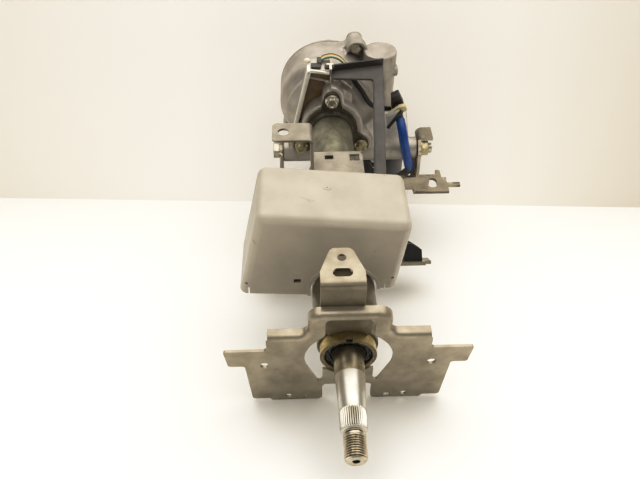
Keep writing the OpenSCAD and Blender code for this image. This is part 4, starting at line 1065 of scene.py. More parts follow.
def flange_bolt(flat: float, head: float, washer_r: float, washer: float, shank_r: float,
                shank: float) -> Form:
    """Gives a bolt with a dished hexagon head on a flange; it points along +Y from under its flange.

    Args:
        flat: Distance from the axis to a flat of the head.
        head: Height of the hexagon.
        washer_r: Radius of the flange.
        washer: Thickness of the flange.
        shank_r: Radius of the shank.
        shank: Length of the shank.

    Returns:
        Points and faces.
    """
    crown = -washer - head
    corner = flat * 1.13
    rows = [(crown + 1.2, 0.0), (crown + 1.2, flat * 0.5), (crown + 0.7, flat * 0.62), (crown, flat * 0.74),
            (crown, flat * 0.88), (crown + 0.35, hexagon(flat, flat * 1.03)),
            (crown + 0.8, hexagon(flat, corner)), (-washer - 0.2, hexagon(flat, corner)),
            (-washer, flat * 1.16), (-0.55, washer_r - 0.25), (-0.3, washer_r), (0.0, washer_r),
            (0.0, shank_r), (shank, shank_r), (shank, 0.0)]
    return turned(rows, steps=48)


def tooth(pitches: float, slope: float, root: float) -> float:
    """Gives the height of a tooth with a flat crest and a flat root.

    Args:
        pitches: Place, counted in pitches.
        slope: Steepness of the flanks.
        root: Depth that the flat root cuts off.

    Returns:
        Height from 0 in the root to 1 on the crest.
    """
    phase = pitches % 1.0
    return min(max(slope * (1 - abs(2 * phase - 1)) - root, 0.0), 1.0)


@dataclass
class SteeringShaft:
    """The shaft from the wheel-nut thread to the socket of the sliding joint."""

    frame: Frame
    thread_r: float = 7.0
    thread_len: float = 16.0
    thread_rows: int = 150
    pitch: float = 1.5
    thread_depth: float = 1.1
    thread_flank: Point2 = (1.6, 0.3)
    thread_root: float = 0.8
    run_out: Point2 = (0.8, 1.6)
    tip_chamfer: Point2 = (1.3, 0.9)
    tip_len: float = 1.2
    centre_hole: Point2 = (2.2, 6.0)
    serration_y: float = 18.0
    serration_r: float = 8.6
    serration_depth: float = 0.85
    serration_flank: Point2 = (1.7, 0.35)
    serration_root: float = 0.75
    serration_lead: Point2 = (1.5, 0.8)
    teeth: int = 36
    facets: int = 216
    neck_y: float = 32.0
    polish_end: float = 56.5
    journal_r: float = 10.0
    body: str = "steering_shaft_set"

    def thread_radius(self, y: float, angle: float) -> float:
        """Gives the thread's radius, with the crest chamfered at the tip and run out at the end.

        Args:
            y: Station along the shaft.
            angle: Angle round it.

        Returns:
            The radius.
        """
        height = tooth(y / self.pitch + angle / (2 * math.pi), *self.thread_flank)
        end, length = self.run_out
        fade = min(1.0, max(0.0, (self.thread_len - end - y) / length))
        crest = self.thread_r - self.thread_depth * (1 - height) * fade
        cut, slope = self.tip_chamfer
        return min(crest, self.thread_r - cut + max(y, 0.0) * slope)

    def serration_radius(self, y: float, angle: float) -> float:
        """Gives the serration's radius, with the teeth's front ends chamfered.

        Args:
            y: Station along the shaft.
            angle: Angle round it.

        Returns:
            The radius.
        """
        height = tooth(angle * self.teeth / (2 * math.pi), *self.serration_flank)
        cut, slope = self.serration_lead
        lead = self.serration_r - cut + (y - self.serration_y) * slope
        return min(self.serration_r - self.serration_depth * (1 - height), lead)

    def is_root(self, centre: Vector, _normal: Vector) -> bool:
        """Tells whether a face lies in a root, which takes painted shade.

        Args:
            centre: The face's centre in the column frame.
            _normal: The face's normal, which plays no part.

        Returns:
            True for the thread's roots, the relief, the serration's roots and the centre hole.
        """
        r = math.hypot(centre.x, centre.z)
        if self.tip_len < centre.y < self.serration_y:
            return r < self.thread_r - self.thread_root * self.thread_depth
        if self.serration_y + self.serration_lead[0] < centre.y < self.neck_y:
            return r < self.serration_r - self.serration_root * self.serration_depth
        return r < self.centre_hole[0] and centre.y < self.centre_hole[1]

    def build(self) -> None:
        """Builds the shaft and what turns with it."""
        tip = [(4.6, 0.0), (4.4, 0.7), (3.8, 1.3), (2.6, 1.4), (0.9, 2.1), (0.15, 2.3), (0.0, 2.5),
               (0.0, 5.5)]
        stations = [self.thread_len * i / self.thread_rows for i in range(self.thread_rows + 1)]
        thread = [(y, partial(self.thread_radius, y)) for y in stations]
        relief = [(16.1, 6.1), (17.3, 6.0), (17.9, 6.4), (self.serration_y, 6.8)]
        stations = [18.05, 18.5, 19.0, 19.5, 20.0, 25.0, 30.0, 31.2]
        teeth = [(y, partial(self.serration_radius, y)) for y in stations]
        neck = [(self.neck_y, 8.1), (32.4, 8.1), (32.9, 8.35), (46.0, 9.2), (self.polish_end - 0.2, 9.75),
                (60.0, self.journal_r), (60.3, self.journal_r), (130.0, self.journal_r), (142.0, 13.0),
                (213.4, 13.0), (214.0, 12.4), (214.0, 9.6), (213.4, 9.05), (150.5, 9.05), (150.0, 8.6),
                (150.0, 0.0)]
        shaft = solid("steering_shaft_piece", GROUND_STEEL,
                      turned(tip + thread + relief + teeth + neck, steps=self.facets),
                      nodes=["steering_shaft"], smooth=50.0, body=self.body)
        tint(shaft, OILED_STEEL, lambda c, _n: -0.1 < c.y < self.serration_y)
        tint(shaft, STAINED_STEEL, lambda c, _n: c.y > self.polish_end)
        # Roots, relief and centre hole take painted shade
        tint(shaft, ROOT_SHADE_STEEL, self.is_root)
        self.frame.dress("lower_shaft", GROUND_STEEL)
        self.frame.dress("shaft_circlip", BLACK_STEEL, 0.15)
        self.frame.dress("upper_bearing_inner", GREASED_STEEL, 0.3)
        self.frame.dress("sensor_rotor", BLACK_STEEL, 0.2)


@dataclass
class TubeSet:
    """Upper bearing sleeve, telescoped tubes and the dark flange that bolts them to the casting."""

    frame: Frame
    bearing_y: float = 74.0
    rim_r: float = 17.0
    bead_r: float = 14.1
    bead_size: Point3 = (2.6, 1.0, 1.5)
    beads: int = 13
    flange_circle: float = 33.0
    flange_angles: tuple[float, ...] = (90.0, 210.0, 330.0)
    flange_y: float = 318.1
    flange_t: float = 3.5
    ring_r: float = 24.5
    ear_r: float = 7.4
    ear_sweep: float = 80.0
    ring_sweep: Point2 = (24.0, 96.0)
    lower_r: float = 19.0

    def ear(self, angle: float) -> Point2:
        """Gives the centre of a flange ear in X and Z."""
        a = math.radians(angle)
        return self.flange_circle * math.cos(a), self.flange_circle * math.sin(a)

    def build(self) -> None:
        """Builds the tubes, bearing and flange."""
        sleeve = self.frame.dress("bearing_sleeve", YELLOW_STEEL, 0.5, 3)
        # Forward faces and the inner rim: grease browning, with painted shade on the forward faces
        tint(sleeve, GREASED_SHADED_YELLOW, lambda c, n: n.y < -0.8 or math.hypot(c.x, c.z) < self.rim_r)
        self.frame.dress("upper_bearing_outer", GREASED_STEEL, 0.3)
        self.frame.dress("upper_bearing_balls", GREASED_STEEL, 0)
        self.frame.dress("bearing_circlip", BLACK_STEEL, 0.15)
        self.frame.dress("upper_tube", TUBE_STEEL, 0.5)
        self.frame.dress("lower_tube", LOWER_STEEL, 0.4)
        self.frame.dress("tube_bush", NATURAL_NYLON, 0.3)
        self.grease()
        self.collar()
        self.bolts()

    def grease(self) -> None:
        """Adds the greasy seal in the bearing's mouth and the beads of grease between it and the sleeve."""
        y = self.bearing_y
        seal = turned([(y - 0.1, 11.9), (y - 0.7, 12.0), (y - 1.4, 12.7), (y - 1.5, 13.6), (y - 0.8, 14.4),
                       (y - 0.4, 15.6), (y - 0.1, 15.6), (y - 0.1, 11.9)], steps=72)
        solid("bearing_seal", BLACK_GREASE, seal, smooth=ROUND)
        bead = bpy.data.meshes.new("grease_bead")
        work = bmesh.new()
        bmesh.ops.create_uvsphere(work, u_segments=14, v_segments=8, radius=1.0)
        work.to_mesh(bead)
        work.free()
        place = Matrix.Translation((0, y - 1.0, self.bead_r))
        bead.transform(place @ Matrix.Diagonal((*self.bead_size, 1.0)))
        ring = grown(bead, ring_tree(), {"Count": self.beads, "Material": BLACK_GREASE.material()})
        ring.name = "grease_beads"
        settle(ring, COLUMN, BLACK_GREASE, smooth=SEAMLESS)

    def collar(self) -> None:
        """Adds the three-eared flange and the rolled collar that stands before it round the lower tube."""
        r, y = self.lower_r, self.flange_y
        outline: list[Point2] = []
        for turn in self.flange_angles:
            outline += arc(self.ear(turn), self.ear_r, turn - self.ear_sweep, turn + self.ear_sweep, 14)
            outline += arc((0, 0), self.ring_r, turn + self.ring_sweep[0], turn + self.ring_sweep[1], 12)
        flat, faces = filled(outline, [circle((0, 0), r + 0.1, 64)])
        sheet = Piece("tube_flange_piece").gain(([(x, y, z) for x, z in flat], faces))
        pressed(sheet, DARK_STEEL, "tube_flange", self.flange_t, Vector((0, -1, 0)))
        rows = [(y, r + 0.1), (y - 3.4, r + 0.1), (y - 3.6, r + 0.9), (y - 3.0, r + 1.7), (y - 1.2, r + 2.1),
                (y, r + 3.2), (y, r + 0.1)]
        solid("tube_collar", DARK_STEEL, turned(rows, steps=80), smooth=ROUND)

    def bolts(self) -> None:
        """Adds the three flange bolts."""
        bolt = flange_bolt(flat=4.5, head=4.4, washer_r=6.2, washer=1.4, shank_r=3.0, shank=24.0)
        for number, angle in enumerate(self.flange_angles):
            x, z = self.ear(angle)
            finish = BRIGHT_ZINC if number == 0 else YELLOW_ZINC
            nodes = ["flange_bolts"] if number == 0 else []
            solid(f"flange_bolt_{number}", finish, moved(bolt, (x, self.flange_y - 0.1, z)), nodes=nodes,
                  smooth=CRISP)


@dataclass
class WingBracket:
    """Pressed bracket at the wheel end: wings, arch with a drawn flange, and the tongue behind it."""

    y: float = 70.0
    thickness: float = 2.0
    half_w: float = 53.0
    top: float = 24.0
    drop: float = 51.0
    arch_top: float = 46.0
    arch_half: float = 26.5
    arch_round: float = 9.0
    foot_round: float = 5.0
    bend: float = 4.2
    flange: float = 7.5
    mouth_top: float = 41.5
    mouth_half: float = 15.5
    mouth_round: float = 4.0
    opening_r: float = 29.0
    sleeve_r: float = 18.9
    riser_y: float = 77.6
    tongue_x: float = -4.7
    tongue_half: float = 13.8
    tongue_top: float = 66.0

    def ridge(self) -> list[Point2]:
        """Gives the bracket's top edge from left to right.

        Returns:
            Points in X and Z.
        """
        r, f = self.arch_round, self.foot_round
        half = [(self.half_w - 1.0, self.top), (46.0, self.top), (40.0, self.top)]
        half += arc((self.arch_half + f, self.top + f), f, 270, 180, 8)
        half += arc((self.arch_half - r, self.arch_top - r), r, 0, 90, 10)
        half += [(9.0, self.arch_top), (0.0, self.arch_top)]
        left = [(-x, z) for x, z in half]
        return left + half[-2::-1]

    def rim(self) -> list[Point2]:
        """Gives the bracket's lower outline from right to left.

        Returns:
            Points in X and Z.
        """
        d = self.drop
        half = [(self.half_w, 19.0), (self.half_w, 12.5), *arc((self.half_w + 2.5, 12.5), 2.5, 180, 270, 4),
                (78.6, 10.0), *arc((79.2, 8.2), 1.8, 80, -8, 4), (79.6, -3.6),
                *arc((77.2, -4.6), 2.4, -10, -90, 5), *arc((70.3, -9.0), 2.0, 90, 176, 4), (66.2, 6.0 - d),
                *arc((63.8, 4.9 - d), 2.4, 5, -90, 5), (54.4, 2.5 - d), (53.6, 2.0 - d), (52.0, -d),
                (22.0, -d), *arc((21.4, 4.4 - d), 4.4, -90, -180, 6), (17.0, -34.5),
                *arc((14.0, -34.5), 3.0, 0, 90, 5)]
        left = [(-x, z) for x, z in half]
        return half + left[::-1]

    def opening(self) -> list[Point2]:
        """Gives the lobed opening round the sleeve, which runs up into the arch.

        Returns:
            Points in X and Z.
        """
        r = self.mouth_round
        right = arc((0, 0), self.sleeve_r, 270, 317.4, 10) + [(17.0, -12.8), (17.0, -24.3), (17.6, -26.2)]
        right += arc((19.2, -25.6), 1.5, 215, 330, 4) + arc((0, 0), self.opening_r, -15.2, 54.0, 14)
        right += [(self.mouth_half, 26.5)] + arc((self.mouth_half - r, self.mouth_top - r), r, 0, 90, 7)
        right += [(0.0, self.mouth_top)]
        left = [(-x, z) for x, z in right[1:-1]]
        return right + left[::-1]

    def build(self) -> None:
        """Builds the wing bracket and the tongue."""
        ridge = np.array(self.ridge())
        step = np.gradient(ridge, axis=0)
        out = np.stack([-step[:, 1], step[:, 0]], axis=1)
        out /= np.linalg.norm(out, axis=1)[:, None]
        inner = ridge - out * self.bend
        square = [(26.5, -48.7), (30.9, -48.7), (30.9, -45.3), (26.5, -45.3)]
        holes = [self.opening(), circle((55.3, -6.4), 3.0), circle((-55.3, -6.4), 3.0),
                 circle((40.5, -46), 2.4, 24), circle((-40.5, -46), 2.4, 24),
                 circle((-28.7, -47.5), 1.6, 20), square]
        flat, faces = filled([tuple(p) for p in inner] + self.rim(), holes)
        made = Piece("wing_bracket_piece").gain(([(x, self.y, z) for x, z in flat], faces))
        turns = [math.radians(90 * i / 7) for i in range(8)]
        rows = [(self.bend * math.sin(t), self.bend * (1 - math.cos(t))) for t in turns]
        rows.append((self.bend, self.flange))
        skin = [(p[0] + n[0] * o, self.y + back, p[1] + n[1] * o)
                for p, n in zip(inner, out) for o, back in rows]
        k = len(rows)
        made.extend(skin, [[i * k + j, (i + 1) * k + j, (i + 1) * k + j + 1, i * k + j + 1]
                           for i in range(len(inner) - 1) for j in range(k - 1)])
        pressed(made, PRESSED_STEEL, "wing_bracket", self.thickness, Vector((0, -1, 0)))
        self.tongue()

    def tongue(self) -> None:
        """Builds the support with the tongue, which stands on the tube's front end."""
        x, w, bend, corner = self.tongue_x, self.tongue_half, 5.0, 4.6
        start = self.tongue_top - bend
        far = start + bend * math.pi / 2 - bend - self.riser_y

        def at(y: float) -> float:
            """Gives the pattern's v of a station on the tongue."""
            return y + far

        foot = arc((0, 0), self.sleeve_r, 132, 48, 12)
        end = arc((x + 3.6, at(103.0)), corner, 20, 90, 7) + arc((x - 3.6, at(103.0)), corner, 90, 160, 7)
        right = [(14.2, 17.0), (15.0, 29.0), (x + w, 45.0), (x + w, at(88.6))]
        left = [(x - w, at(88.6)), (x - w, 45.0), (-16.0, 29.0), (-15.2, 17.0)]
        slot = arc((x + 2.8, at(87.4)), 3.2, -90, 90, 10) + arc((x - 2.8, at(87.4)), 3.2, 90, 270, 10)
        holes = [slot, circle((x, at(99.4)), 2.75, 28)]
        made = FoldedSheet("tongue_bracket_piece", foot + right + end + left, holes,
                           [(start, bend, 90, Fold.DOWN)], lambda u, a, b: (u, self.riser_y - b, a)).piece()
        done = pressed(made, PRESSED_STEEL, "tongue_bracket", self.thickness, Vector((0, -1, 1)))
        # Faces that look forward, under the fold, take painted shade
        tint(done, SHADED_RISER_STEEL, lambda _c, n: n.y < -0.75)


@dataclass
class ControlBox:
    """Moulded cover with the control unit on its tray."""

    frame: Frame
    front_y: float = 127.7
    snap: Point2 = (-32.9, 10.6)
    snap_half: Point2 = (2.5, 2.1)
    snap_was: Point2 = (-32.6, 19.7)
    dots: tuple[Point2, ...] = ((-68.8, 8.6), (34.4, 11.9))
    dot_r: float = 1.1
    dot_depth: float = 12.0
    dot_set: float = 6.0
    wall: float = 2.4
    lap: float = 0.2
    plug_t: float = 1.8
    shade_block_t: float = 1.2
    shade_block_half: Point2 = (3.6, 1.0)
    gate: Point3 = (-11.2, 161.1, 68.25)
    top_normal: Point3 = (0.087, 0.0, 1.0)

    def build(self) -> None:
        """Builds the cover and what it hides."""
        self.cover()
        self.frame.dress("cover_tray", PRESSED_STEEL, 0.3)
        self.frame.dress("control_unit", CAST_ALUMINIUM, 0.5)
        solid("cover_gate_mark", CREAM_PLASTIC, drum(self.gate, self.top_normal, 3.0, 0.45, 28, 2.6),
              drum(self.gate, self.top_normal, 0.8, 0.9, 12, 0.6), smooth=CRISP)

    def cover(self) -> None:
        """Builds the cover with its snap window and the two small holes at its lower corners, with black
        blocks of painted shade behind them.
        """
        y, (x, z), (w, h) = self.front_y, self.snap_was, self.snap_half
        lap, (wide, slim) = self.lap, self.shade_block_half
        plug = Piece("window_plug").gain(
            box((x - w - lap, y + 0.01, z - h - lap), (x + w + lap, y + self.plug_t, z + h + lap)))
        x, z = self.snap
        cuts = Piece("cover_cuts").gain(
            box((x - w, y - 2, z - h), (x + w, y + 5, z + h)),
            *[drum((px, y - 2, pz), (0, 1, 0), self.dot_r, self.dot_depth, 20) for px, pz in self.dots])
        mesh = carved(self.frame.column_mesh("control_cover", "control_cover_base"), plug, Carve.JOIN)
        mesh = carved(mesh, cuts, Carve.CUT)
        mesh.name = "control_cover_piece"
        settle(mesh, COLUMN, CREAM_PLASTIC, ["control_cover"], [bevel(0.45), FLAT_FACES])
        # Black blocks behind the window and the two holes: painted shade seen through them
        back = y + self.wall - lap
        places = ((self.snap, wide, back), *((dot, slim, back + self.dot_set) for dot in self.dots))
        forms = [box((px - r, near, pz - r), (px + r, near + self.shade_block_t, pz + r))
                 for (px, pz), r, near in places]
        solid("cover_hole_shade", BLACK_PLASTIC, *forms, smooth=CRISP)


@dataclass
class Saddle:
    """Saddle bracket on the tube and the L-shaped wire guide that it carries."""

    right: float = 34.0
    plate_z: float = 24.6
    wall_x: float = -19.0
    tab_z: float = 54.0
    tab_end: float = -51.0
    inner_bend: float = 2.0
    outer_bend: float = 4.0
    near: float = 184.3
    far: float = 256.2
    tab_len: float = 23.0
    tab_round: float = 4.0
    thickness: float = 2.0

    def window(self, x: float, y: float, w: float, d: float) -> list[Point2]:
        """Gives a window of the flat plate.

        Args:
            x: Its centre across the column.
            y: Its centre along the column.
            w: Half its width.
            d: Half its depth.

        Returns:
            Corners in the flat pattern.
        """
        v = self.right - x
        return [(y - d, v - w), (y + d, v - w), (y + d, v + w), (y - d, v + w)]

    def build(self) -> None:
        """Builds the saddle and the guide."""
        rise = self.right - self.wall_x - self.inner_bend
        wall = rise + self.inner_bend * math.pi / 2
        crest = wall + self.tab_z - self.plate_z - self.inner_bend - self.outer_bend
        over = crest + self.outer_bend * math.pi / 2
        edge = over + self.wall_x - self.outer_bend - self.tab_end
        tab_y, r = self.far - self.tab_len, self.tab_round
        outline = [(self.near, 0), (self.near + 34, 0), (self.near + 40, 11.6), (self.far - 4, 11.6),
                   (self.far, 14.0)]
        outline += arc((self.far - r, edge - r), r, 0, 90, 5) + arc((tab_y + r, edge - r), r, 90, 180, 5)
        outline += [(tab_y, crest), (tab_y - 20, wall), (tab_y - 20, rise), (self.near, rise)]
        holes = [self.window(-5.5, self.far - 7.5, 3.5, 2.5), self.window(15.5, self.far - 8.0, 4.0, 4.0),
                 circle((self.far - 11.5, edge - 9.0), 4.4)]
        folds = [(rise, self.inner_bend, 90, Fold.UP), (crest, self.outer_bend, 90, Fold.DOWN)]
        made = FoldedSheet("saddle_bracket_piece", outline, holes, folds,
                           lambda u, a, b: (self.right - a, u, self.plate_z + b)).piece()
        pressed(made, SADDLE_STEEL, "saddle_bracket", self.thickness, Vector((0.3, 0, 1)))
        self.guide()

    def guide(self) -> None:
        """Builds the wire guide with its raised edges and the clip that holds it to the casting."""
        low, top, rise = 48.0, 50.0, 55.7
        plate = [(24.4, 186.3), (33.6, 186.3), (48.1, 352.2), (0.8, 342.2), (0.2, 328.5), (34.4, 326.6),
                 (36.3, 324.6)]
        guide = Piece("wire_guide_piece").gain(
            prism(plate, low, top, Along.Z),
            prism([(0.8, 340.2), (47.9, 350.2), (48.1, 352.2), (0.8, 342.2)], low, rise, Along.Z),
            prism([(24.4, 186.3), (25.4, 186.3), (37.3, 324.6), (36.3, 324.6)], low, top + 1.2, Along.Z),
            box((24.4, 186.3, self.plate_z + 0.1), (33.6, 188.3, top)),
            box((-6.0, 336.7, 54.1), (2.5, 342.2, rise)))
        made = settle(guide.mesh(FORM_MERGE, True), COLUMN, GUIDE_PLASTIC, ["wire_guide"],
                      [bevel(0.35), FLAT_FACES])
        # Faces above the plate, on the raised edges and the rear block, take painted shade
        tint(made, DARK_PLASTIC, lambda c, _n: c.z > top + 0.3)
        solid("guide_clip", WHITE_NYLON, box((-4.4, 339.6, 55.7), (2.0, 342.2, 57.0)),
              box((-2.0, 332.5, 55.7), (0.4, 340.0, 57.0)), width=0.3)


@dataclass
class GearCase:
    """Castings round the sensor, the worm wheel and the worm."""

    frame: Frame
    front_y: float = 321.7
    gear_end: float = 398.7
    lug_len: float = 14.0
    pocket_y: float = 335.0
    floor_y: float = 343.6
    resin: float = 6.0
    stud: Point3 = (-21.4, 349.5, 57.0)
    hood: Point2 = (26.0, 48.6)

    def build(self) -> None:
        """Builds the castings and what they hold."""
        pocket = Piece("pocket_form").gain(prism(self.pocket(), self.front_y - 1.0, self.floor_y + 0.1))
        self.frame.cast("sensor_housing", CAST_ALUMINIUM, self.sensor_ribs(), pocket)
        self.frame.cast("gear_housing", CAST_ALUMINIUM, self.gear_ribs())
        self.frame.cast("gear_cover", CAST_ALUMINIUM)
        self.frame.dress("housing_bolts", BRIGHT_ZINC, 0.3)
        self.potting()
        for node, finish in (
            ("sensor_coil", COPPER), ("output_shaft", GROUND_STEEL), ("torsion_bar", HARD_STEEL),
            ("torsion_pin", HARD_STEEL), ("wheel_hub", CAST_ALUMINIUM), ("wheel_rim", NATURAL_NYLON),
            ("output_bearing_outers", HARD_STEEL), ("output_bearing_inners", HARD_STEEL),
            ("worm_shaft", HARD_STEEL), ("worm_bearing_outers", HARD_STEEL),
            ("worm_bearing_inners", HARD_STEEL), ("gear_bearing_balls", HARD_STEEL),
            ("worm_coupling", BLACK_RUBBER), ("motor_stator", COPPER), ("motor_rotor", COPPER),
            ("motor_bushes", COPPER), ("pivot_bushes", NATURAL_NYLON),
        ):
            self.frame.dress(node, finish, 0)
        self.frame.dress("motor_case", BLACK_PAINT, 1.5, 3)
        self.frame.dress("motor_bolts", BRIGHT_ZINC, 0.3)

    def sensor_ribs(self) -> Piece:
        """Gives the ribs of the sensor housing: the slotted web by the top bolt and a ledge in the pocket.

        Returns:
            The ribs.
        """
        y = self.front_y + 8.0
        ledge = [(-18.4, 46.6), (-1.4, 42.4), (-1.4, 39.8), (-18.4, 43.9)]
        return Piece("sensor_ribs").gain(
            prism([(7.6, 47.0), (11.0, 47.0), (19.5, 38.5), (18.2, 36.6), (9.2, 44.2)], y, y + 7.0),
            prism([(8.2, 40.8), (16.4, 33.8), (18.6, 33.0), (20.0, 17.6), (9.2, 19.8)], y, y + 9.0),
            prism(ledge, self.floor_y - self.resin - 1.0, self.floor_y + 1.0))

    def pocket(self) -> list[Point2]:
        """Gives the outline of the potted pocket, which follows the top bolt's lobe and the flange's rim.

        Returns:
            Points in X and Z.
        """
        lobe = arc((0, 33.0), 8.4, 98, 180, 8)
        return [(-32.4, -1.0), (-18.8, 51.0), (-1.2, 51.0), (-1.2, 44.0), *lobe, (-8.4, 27.0),
                *arc((0, 0), 27.4, 109, 182, 12)]

    def gear_ribs(self) -> Piece:
        """Gives the webs of the gear housing: the hood of the top lug and a boss on the worm barrel.

        Returns:
            The webs.
        """
        face = self.gear_end - self.lug_len
        web = prism([(4.0, 46.5), (11.0, 47.4), (15.5, 49.2), (18.0, 52.0), (32.0, 52.0), (35.0, 44.0),
                     (44.0, 30.0), (25.0, 30.0)], face + 1.0, self.gear_end - 0.2)
        hood = prism(arc(self.hood, 9.4, -20, 192, 18) + arc(self.hood, 6.6, 192, -20, 18), face - 8.0,
                     face + 3.0)
        return Piece("gear_ribs").gain(web, hood, drum((57.0, 371.5, 31.0), (1.0, 0.0, 0.0), 5.0, 8.5, 20))

    def potting(self) -> None:
        """Fills the pocket's floor with potting resin and adds the edge of its walls, bright with painted
        highlight, and a stud.
        """
        solid("sensor_cover_piece", POTTING, prism(self.pocket(), self.floor_y - self.resin, self.floor_y),
              nodes=["sensor_cover"], width=0.3)
        y = self.pocket_y
        # Edges of the pocket's walls in bright aluminium: painted highlight
        solid("pocket_edge", HIGHLIGHT_ALUMINIUM,
              prism([(-36.2, -6.0), (-31.9, -6.0), (-18.2, 53.2), (-22.5, 53.2)], y - 2.0, y + 1.0),
              box((-21.9, y - 2.0, 51.0), (-18.7, y + 16.0, 54.4)),
              prism([(-18.8, 55.4), (-1.8, 52.4), (-1.8, 50.0), (-18.8, 52.4)], y - 1.8, y + 0.6), width=0.6)
        verts, faces = turned([(0.0, 0.0), (0.0, 1.9), (0.9, 2.9), (4.5, 2.9), (4.5, 0.0)], steps=24)
        sx, sy, sz = self.stud
        solid("sensor_stud", WHITE_NYLON, ([(sx + x, sy + z, sz - y) for x, y, z in verts], faces))


@dataclass
class Mountings:
    """Lower pivot bracket, tilt clamp, upper bracket, capsules and lever."""

    frame: Frame
    ear_x: float = 84.5
    lip_z: float = -17.0
    bend: float = 6.5
    thickness: float = 3.0
    body: str = "lower_bracket_set"

    def build(self) -> None:
        """Builds the brackets and their fasteners."""
        for node, finish, width in (
            ("pivot_bolt", BRIGHT_ZINC, 0.4), ("pivot_nut", YELLOW_ZINC, 0.5),
            ("clamp_bracket", PRESSED_STEEL, 0.4), ("upper_bracket", PRESSED_STEEL, 0.6),
            ("release_capsules", BLACK_PLASTIC, 0.6), ("tilt_bolt", YELLOW_ZINC, 0.4),
            ("tilt_nut", YELLOW_ZINC, 0.4), ("tilt_lever", PRESSED_STEEL, 0.8),
        ):
            self.frame.dress(node, finish, width)
        self.lip()

    def lip(self) -> None:
        """Builds the lower bracket with a round bend between the ear and its flange."""
        r = self.bend
        centre = (self.ear_x + r, self.lip_z - r)
        corner = [(self.ear_x - 0.5, self.lip_z + 0.5), (self.ear_x - 0.5, centre[1]),
                  *arc(centre, r, 180, 90, 10), (centre[0], self.lip_z + 0.5)]
        mesh = carved(self.frame.column_mesh("lower_bracket", "lower_bracket_base"),
                      Piece("ear_corner").gain(prism(corner, 326.0, 347.5)), Carve.CUT)
        mesh.name = "lower_bracket_piece"
        settle(mesh, self.body, PRESSED_STEEL, ["lower_bracket"], [bevel(0.6), FLAT_FACES])
        strip = arc(centre, r, 90, 180, 10) + arc(centre, r - self.thickness, 180, 90, 10)
        solid("ear_lip", PRESSED_STEEL, prism(strip, 327.7, 345.7), width=0.4, body=self.body)


@dataclass
class Wiring:
    """Sensor plug with its wires, thin lead, and the taped harness to the motor.

    Routes count Y from the casting.
    """

    frame: Frame
    casting_y: float = 321.7
    wire_set: float = -2.8
    wire_pitch: float = 1.9
    neck: int = 1
    taped: int = 7
    wire_r: float = 0.8
    lead_r: float = 2.2
    neck_r: float = 3.6
    tape_r: float = 4.3
    sleeve_r: float = 3.8
    sides: int = 18
    wire_route: tuple[Point3, ...] = (
        (-8.4, 30, 56), (-4, 31, 57.6), (2, 31, 58), (8, 30, 56), (13, 28, 51.5), (16, 26.5, 46.5))
    lead_route: tuple[Point3, ...] = (
        (17, 25, 45), (22, 22, 37), (29, 19, 28), (35, 18, 18), (42, 19, 11), (52, 22, 7), (58.2, 23, 6))
    harness_route: tuple[Point3, ...] = (
        (64.5, 11, 6.6), (65.3, 6, 5), (66.5, -2, 0), (68.3, -8, -9), (71, -10.4, -20), (74, -10, -31),
        (77, -6, -42), (79, 0.5, -50), (78, 6, -58), (73, 10, -67), (66, 14, -76), (57.5, 17.5, -83),
        (56, 18, -89))

    def along(self, route: Sequence[Point3], shift: float = 0.0) -> list[Point3]:
        """Carries a route into the column frame.

        Args:
            route: Points with Y counted from the casting.
            shift: Extra distance along Y.

        Returns:
            The points.
        """
        return [(x, y + self.casting_y + shift, z) for x, y, z in route]

    def build(self) -> None:
        """Builds plugs, wires and leads."""
        for number, colour in enumerate(WIRE_COLOURS):
            route = self.along(self.wire_route, self.wire_set + self.wire_pitch * number)
            nodes = ["sensor_wires"] if number == 0 else []
            swept(f"sensor_wire_{number}", route, self.wire_r, wire_finish(colour), nodes, sides=10)
        swept("sensor_lead_piece", self.along(self.lead_route), self.lead_r, BLACK_RUBBER, ["sensor_lead"])
        harness = self.along(self.harness_route)
        swept("harness_neck", harness[: self.neck + 1], self.neck_r, DARK_PLASTIC, sides=self.sides)
        swept("harness_tape", harness[self.neck : self.taped], self.tape_r, BLUE_TAPE, ["harness_lead"],
              sides=self.sides)
        swept("harness_sleeve", harness[self.taped - 1 :], self.sleeve_r, SLEEVING, sides=self.sides)
        solid("sensor_connector_piece", GUIDE_PLASTIC, box((-18.0, 337.4, 54.1), (-9.4, 344.8, 55.9)),
              box((-12.6, 344.0, 54.1), (-8.4, 354.0, 56.6)), nodes=["sensor_connector"], width=0.4)
        self.frame.dress("motor_connector", BLACK_PLASTIC, 0.8)
        self.plugs()

    def plugs(self) -> None:
        """Adds the mating plug, its latch and the tie at the harness connector, and a clip on the boss."""
        for name, finish, nodes, forms in (
            ("harness_connector_piece", DARK_PLASTIC, ["harness_connector"], [
                prism([(57.4, 21.2), (64.0, 24.5), (69.7, 13.6), (66.0, 10.4), (58.6, 7.4)], 339.7, 349.0),
                box((60.5, 334.7, 2.0), (68.5, 341.0, 14.0))]),
            ("harness_tie", NATURAL_NYLON, [], [
                prism([(55.7, 10.4), (63.1, 16.3), (64.2, 13.9), (56.7, 8.1)], 331.0, 335.0),
                prism([(63.1, 16.3), (69.6, 18.0), (71.6, 13.0), (68.3, 10.6), (64.2, 13.9)], 331.0, 336.0)]),
            ("harness_plug", GREY_PLASTIC, [], [
                prism([(51.3, 7.7), (63.5, 15.4), (65.5, 11.9), (54.2, -3.0)], 326.8, 333.0)]),
            ("plug_latch", BLACK_PLASTIC, [], [
                prism([(52.8, -2.8), (55.2, -4.4), (66.8, 14.8), (64.4, 16.6)], 325.4, 328.4)]),
            ("boss_clip", WHITE_NYLON, [], [box((-38.5, 322.4, -23.8), (-29.0, 329.0, -15.6))]),
        ):
            solid(name, finish, *forms, nodes=nodes, width=0.5)


